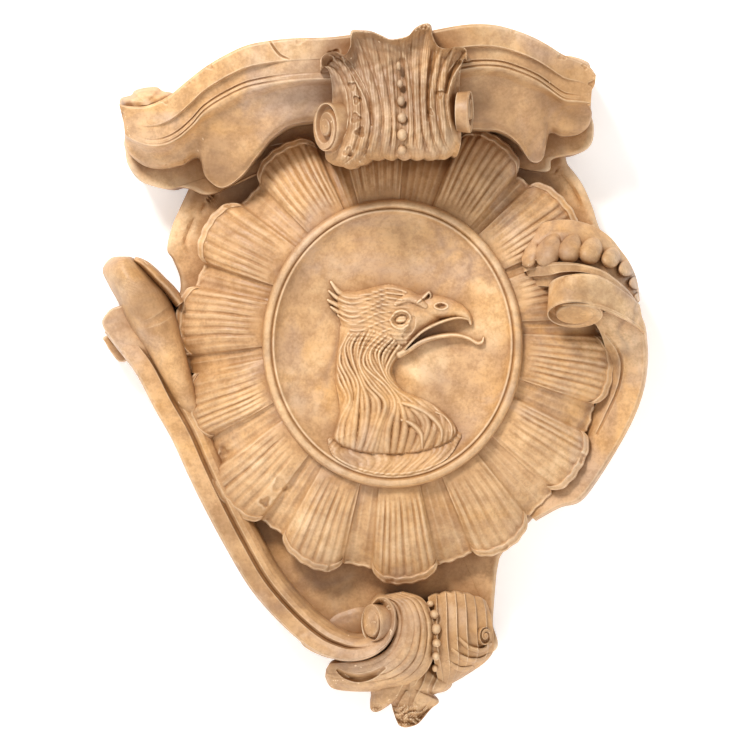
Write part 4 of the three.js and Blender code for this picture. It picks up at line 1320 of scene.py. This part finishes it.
veining.links.new(blend(veining, vein, stone_colour, MAUVE), result.inputs["Colour"])
veining.links.new(vein, result.inputs["Vein"])
print("veins built from", len(vein_masks), "warped noises")

# %% [markdown]
# ## Wear on the arrises, dirt in the recesses
#
# Pointiness tells a sharp edge from a crease on a dense mesh, and the occlusion node
# tells how closed in a place is. Sharp edges show pale as wear, and creases and closed-in
# places are darkened as painted shade. A little noise breaks both, so that neither is even.

# %% The group for wear and painted shade
wear_shade_tree, given, result = group(
    "wear_and_painted_shade",
    [("Place", "NodeSocketVector", None), ("Reach", "NodeSocketFloat", 0.02)],
    [("Worn", "NodeSocketFloat"), ("Painted Shade", "NodeSocketFloat")])
pointed = add(wear_shade_tree, "ShaderNodeNewGeometry").outputs["Pointiness"]
break_up = noise(wear_shade_tree, given.outputs["Place"], 110.0, 4.0, 0.6)["Fac"]
worn = maths(wear_shade_tree, "MULTIPLY", remap(wear_shade_tree, pointed, 0.507, 0.575),
             maths(wear_shade_tree, "MULTIPLY", break_up, 1.6), True)
# Creases and closed-in places are darkened from here on: this is painted shade.
crease = remap(wear_shade_tree, pointed, 0.495, 0.42)
closed_in = add(wear_shade_tree, "ShaderNodeAmbientOcclusion", {
    "Distance": given.outputs["Reach"]}, samples=4)
deep = remap(wear_shade_tree, closed_in.outputs["AO"], 0.92, 0.35)
recess_shade = maths(wear_shade_tree, "MAXIMUM", maths(wear_shade_tree, "MULTIPLY", crease, 0.75), deep)
patchy = maths(wear_shade_tree, "ADD", 0.55, maths(wear_shade_tree, "MULTIPLY", break_up, 0.8))
recess_shade = maths(wear_shade_tree, "MULTIPLY", recess_shade, patchy, True)
wear_shade_tree.links.new(worn, result.inputs["Worn"])
wear_shade_tree.links.new(recess_shade, result.inputs["Painted Shade"])
print("wear and dirt ready")

# %% [markdown]
# ## Grain, stains and painted shade
#
# Two noises give the grain its height, gloss and mottle, and small pits sit where the
# coarser one is strong. Soft round darker patches, whose edges a noise breaks up, are
# partly stains and partly painted shade.

# %% The group for the grain
graining, given, result = group(
    "stone_grain", [("Place", "NodeSocketVector", None)],
    [("Height", "NodeSocketFloat"), ("Roughness", "NodeSocketFloat"),
     ("Speck", "NodeSocketFloat"), ("Mottle", "NodeSocketFloat")])
spot = given.outputs["Place"]
fine = noise(graining, spot, 420.0, 5.0, 0.65)["Fac"]
coarse = noise(graining, spot, 95.0, 4.0, 0.6)["Fac"]
pits = add(graining, "ShaderNodeTexVoronoi", {
    "Vector": spot, "Scale": 260.0, "Randomness": 1.0})
pit = remap(graining, pits.outputs["Distance"], 0.0, 0.16, 1.0, 0.0)
speck = maths(graining, "MULTIPLY", pit, remap(graining, coarse, 0.52, 0.66))
height = maths(graining, "ADD", maths(graining, "MULTIPLY", fine, 0.4),
               maths(graining, "MULTIPLY", coarse, 0.9))
height = maths(graining, "SUBTRACT", height, maths(graining, "MULTIPLY", speck, 0.6))
mottle = maths(graining, "ADD", maths(graining, "MULTIPLY", fine, 0.5),
               maths(graining, "MULTIPLY", coarse, 0.5))
for key, value in (("Height", height), ("Speck", speck),
                   ("Roughness", remap(graining, coarse, 0.3, 0.7, 0.38, 0.60)),
                   ("Mottle", remap(graining, mottle, 0.40, 0.56))):
    graining.links.new(value, result.inputs[key])
print("grain ready")

# %% The group for stains and painted shade
# Rows: [place across, height above the middle, radius, strength], all but the last in
# metres.
# These soft darker patches are partly stains and partly painted shade.
stain_and_shade_spots = [
    (0.002, 0.205, 0.125, 1.0), (-0.132, 0.142, 0.060, 0.9), (0.115, 0.190, 0.075, 0.7),
    (-0.085, 0.035, 0.060, 0.3), (-0.070, -0.195, 0.100, 0.5), (-0.122, -0.166, 0.060, 0.6),
    (0.010, -0.200, 0.180, 0.5), (-0.206, 0.046, 0.048, 0.9), (0.150, 0.056, 0.055, 1.0),
    (-0.056, 0.177, 0.035, 1.0), (0.062, 0.190, 0.040, 1.0), (-0.005, 0.085, 0.070, 0.3),
]
stain_shade_tree, given, result = group(
    "stains_and_painted_shade", [("Place", "NodeSocketVector", None)], [("Stain And Shade", "NodeSocketFloat")])
flat = add(stain_shade_tree, "ShaderNodeVectorMath", {
    0: given.outputs["Place"], 1: (1, 0, 1)}, operation="MULTIPLY")
darkened = 0.0
for across, up, radius, strength in stain_and_shade_spots:
    away = add(stain_shade_tree, "ShaderNodeVectorMath", {0: flat.outputs[0], 1: (across, 0, up)},
               operation="DISTANCE")
    inside = remap(stain_shade_tree, away.outputs["Value"], radius, radius * 0.3, 0.0, strength)
    darkened = maths(stain_shade_tree, "MAXIMUM", inside, darkened)
ragged = noise(stain_shade_tree, given.outputs["Place"], 26.0, 6.0, 0.65)["Fac"]
broken = remap(stain_shade_tree, ragged, 0.34, 0.60, 0.25)
stain_shade_tree.links.new(maths(stain_shade_tree, "MULTIPLY", darkened, broken), result.inputs["Stain And Shade"])
print(len(stain_and_shade_spots), "stained places")

# %% [markdown]
# ## The marble itself
#
# The colours lie over each other like glazes: the stone and its mottle, then stains
# mixed with painted shade, painted shade in the recesses, worn edges and pits. The grain
# also sets the gloss and a fine bump.

# %% The marble
# Of these three colours, the second darkens patches as stains and painted shade, and the third
# darkens recesses as painted shade.
SHADE, STAIN_SHADE_BROWN, RECESS_SHADE_BROWN = (0.76, 0.71, 0.65), (0.27, 0.145, 0.068), (0.25, 0.105, 0.03)
RUBBED, PIT = (0.95, 0.76, 0.52), (0.25, 0.13, 0.06)
marble = bpy.data.materials.new("brown_marble")
marble.use_nodes = True
tree = marble.node_tree
shader = tree.nodes["Principled BSDF"]
spot = add(tree, "ShaderNodeTexCoord").outputs["Object"]
stone = add(tree, "ShaderNodeGroup", {"Place": spot, "Vein Strength": 1.1},
            node_tree=veining)
wear_and_shade = add(tree, "ShaderNodeGroup", {"Place": spot, "Reach": 0.016}, node_tree=wear_shade_tree)
grain = add(tree, "ShaderNodeGroup", {"Place": spot}, node_tree=graining)
stain_and_shade = add(tree, "ShaderNodeGroup", {"Place": spot}, node_tree=stain_shade_tree)
colour = blend(tree, grain.outputs["Mottle"], SHADE, (1.0, 1.0, 1.0))
colour = blend(tree, 1.0, stone.outputs["Colour"], colour, "MULTIPLY")
# The first mask lays stains and painted shade, the second lays painted shade in the recesses.
for mask, share, tint in (
        (stain_and_shade.outputs["Stain And Shade"], 0.85, STAIN_SHADE_BROWN), (wear_and_shade.outputs["Painted Shade"], 0.85, RECESS_SHADE_BROWN),
        (wear_and_shade.outputs["Worn"], 0.75, RUBBED), (grain.outputs["Speck"], 0.45, PIT)):
    colour = blend(tree, maths(tree, "MULTIPLY", mask, share), colour, tint)
tree.links.new(colour, shader.inputs["Base Color"])
tree.links.new(grain.outputs["Roughness"], shader.inputs["Roughness"])
bump = add(tree, "ShaderNodeBump", {
    "Height": grain.outputs["Height"], "Strength": 0.35, "Distance": 0.0006})
tree.links.new(bump.outputs["Normal"], shader.inputs["Normal"])
shader.inputs["Specular IOR Level"].default_value = 0.4
for piece in pieces:
    piece.data.materials.append(marble)
    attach(piece, "root")
    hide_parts("cartouche")
print(len(pieces), "pieces in brown marble")

# %% [markdown]
# ## The stage
#
# A carving like this hangs on a wall. The wall is a pale sheet just behind the block,
# and it can be seen through from behind, so that the block's back can be looked at.
# The floor lies well below. A soft light stands at the upper left, and a weaker one
# fills the right.

# %% Wall and floor


def sheet(name, turn, middle):
    """A plain square sheet of the stage, 14 m wide."""
    tool = bmesh.new()
    bmesh.ops.create_grid(tool, x_segments=1, y_segments=1, size=7)
    tilt = Matrix.Rotation(turn, 3, "X")
    bmesh.ops.rotate(tool, verts=tool.verts, cent=(0, 0, 0), matrix=tilt)
    bmesh.ops.translate(tool, verts=tool.verts, vec=middle)
    mesh = bpy.data.meshes.new(name)
    tool.to_mesh(mesh)
    tool.free()
    plain = bpy.data.objects.new(name, mesh)
    bpy.context.scene.collection.objects.link(plain)
    return plain


wall = sheet("wall", math.pi / 2, (0, 0.002, 0))
floor = sheet("floor", 0, (0, -7, -1.4))
plaster = bpy.data.materials.new("pale_wall")
plaster.use_nodes = True
tree = plaster.node_tree
shader = tree.nodes["Principled BSDF"]
for key, value in (("Base Color", (0.93, 0.93, 0.93, 1)), ("Roughness", 0.9),
                   ("Emission Color", (1, 1, 1, 1)), ("Emission Strength", 0.35)):
    shader.inputs[key].default_value = value
behind = add(tree, "ShaderNodeNewGeometry")
clear = add(tree, "ShaderNodeBsdfTransparent")
seen = add(tree, "ShaderNodeMixShader")
tree.links.new(behind.outputs["Backfacing"], seen.inputs[0])
tree.links.new(shader.outputs["BSDF"], seen.inputs[1])
tree.links.new(clear.outputs["BSDF"], seen.inputs[2])
tree.links.new(seen.outputs["Shader"], tree.nodes["Material Output"].inputs["Surface"])
for plain in (wall, floor):
    plain.data.materials.append(plaster)

# %% Light
bpy.context.scene.view_settings.view_transform = "Standard"
world = bpy.data.worlds.new("soft_room")
bpy.context.scene.world = world
world.use_nodes = True
backdrop = world.node_tree.nodes["Background"]
backdrop.inputs["Color"].default_value = (1, 0.985, 0.965, 1)
backdrop.inputs["Strength"].default_value = 0.36


def lamp(name, place, size, power, colour):
    """A square soft light that looks at the block's middle."""
    light = bpy.data.lights.new(name, "AREA")
    light.size, light.energy, light.color = size, power, colour
    holder = bpy.data.objects.new(name, light)
    holder.location = place
    aim = Vector((0, -0.06, -0.02)) - Vector(place)
    holder.rotation_euler = aim.to_track_quat("-Z", "Y").to_euler()
    bpy.context.scene.collection.objects.link(holder)


lamp("key", (-1.05, -2.0, 1.9), 0.65, 88, (1, 0.98, 0.95))
lamp("fill", (1.9, -1.8, 0.3), 1.6, 8, (1, 0.98, 0.96))
print("lit by a key from the upper left and a weak fill")

# %% [markdown]
# ## The camera
#
# The eye stands straight in front, 3.2 m from the carving, as it does in the drawing.
# A long lens keeps the forms undistorted.

# %% The camera
eye = bpy.data.cameras.new("eye")
eye.lens, eye.sensor_width = 192, 36
eye.clip_start, eye.clip_end = 0.1, 30
viewer = bpy.data.objects.new("viewer", eye)
viewer.location = at(EYE[0], EYE[1], TRUE_RISE / MM).reshape(3)
viewer.location.y = -TRUE_RISE - EYE_DISTANCE
viewer.rotation_euler = (math.pi / 2, 0, 0)
bpy.context.scene.collection.objects.link(viewer)
bpy.context.scene.camera = viewer
print("camera at", tuple(viewer.location))
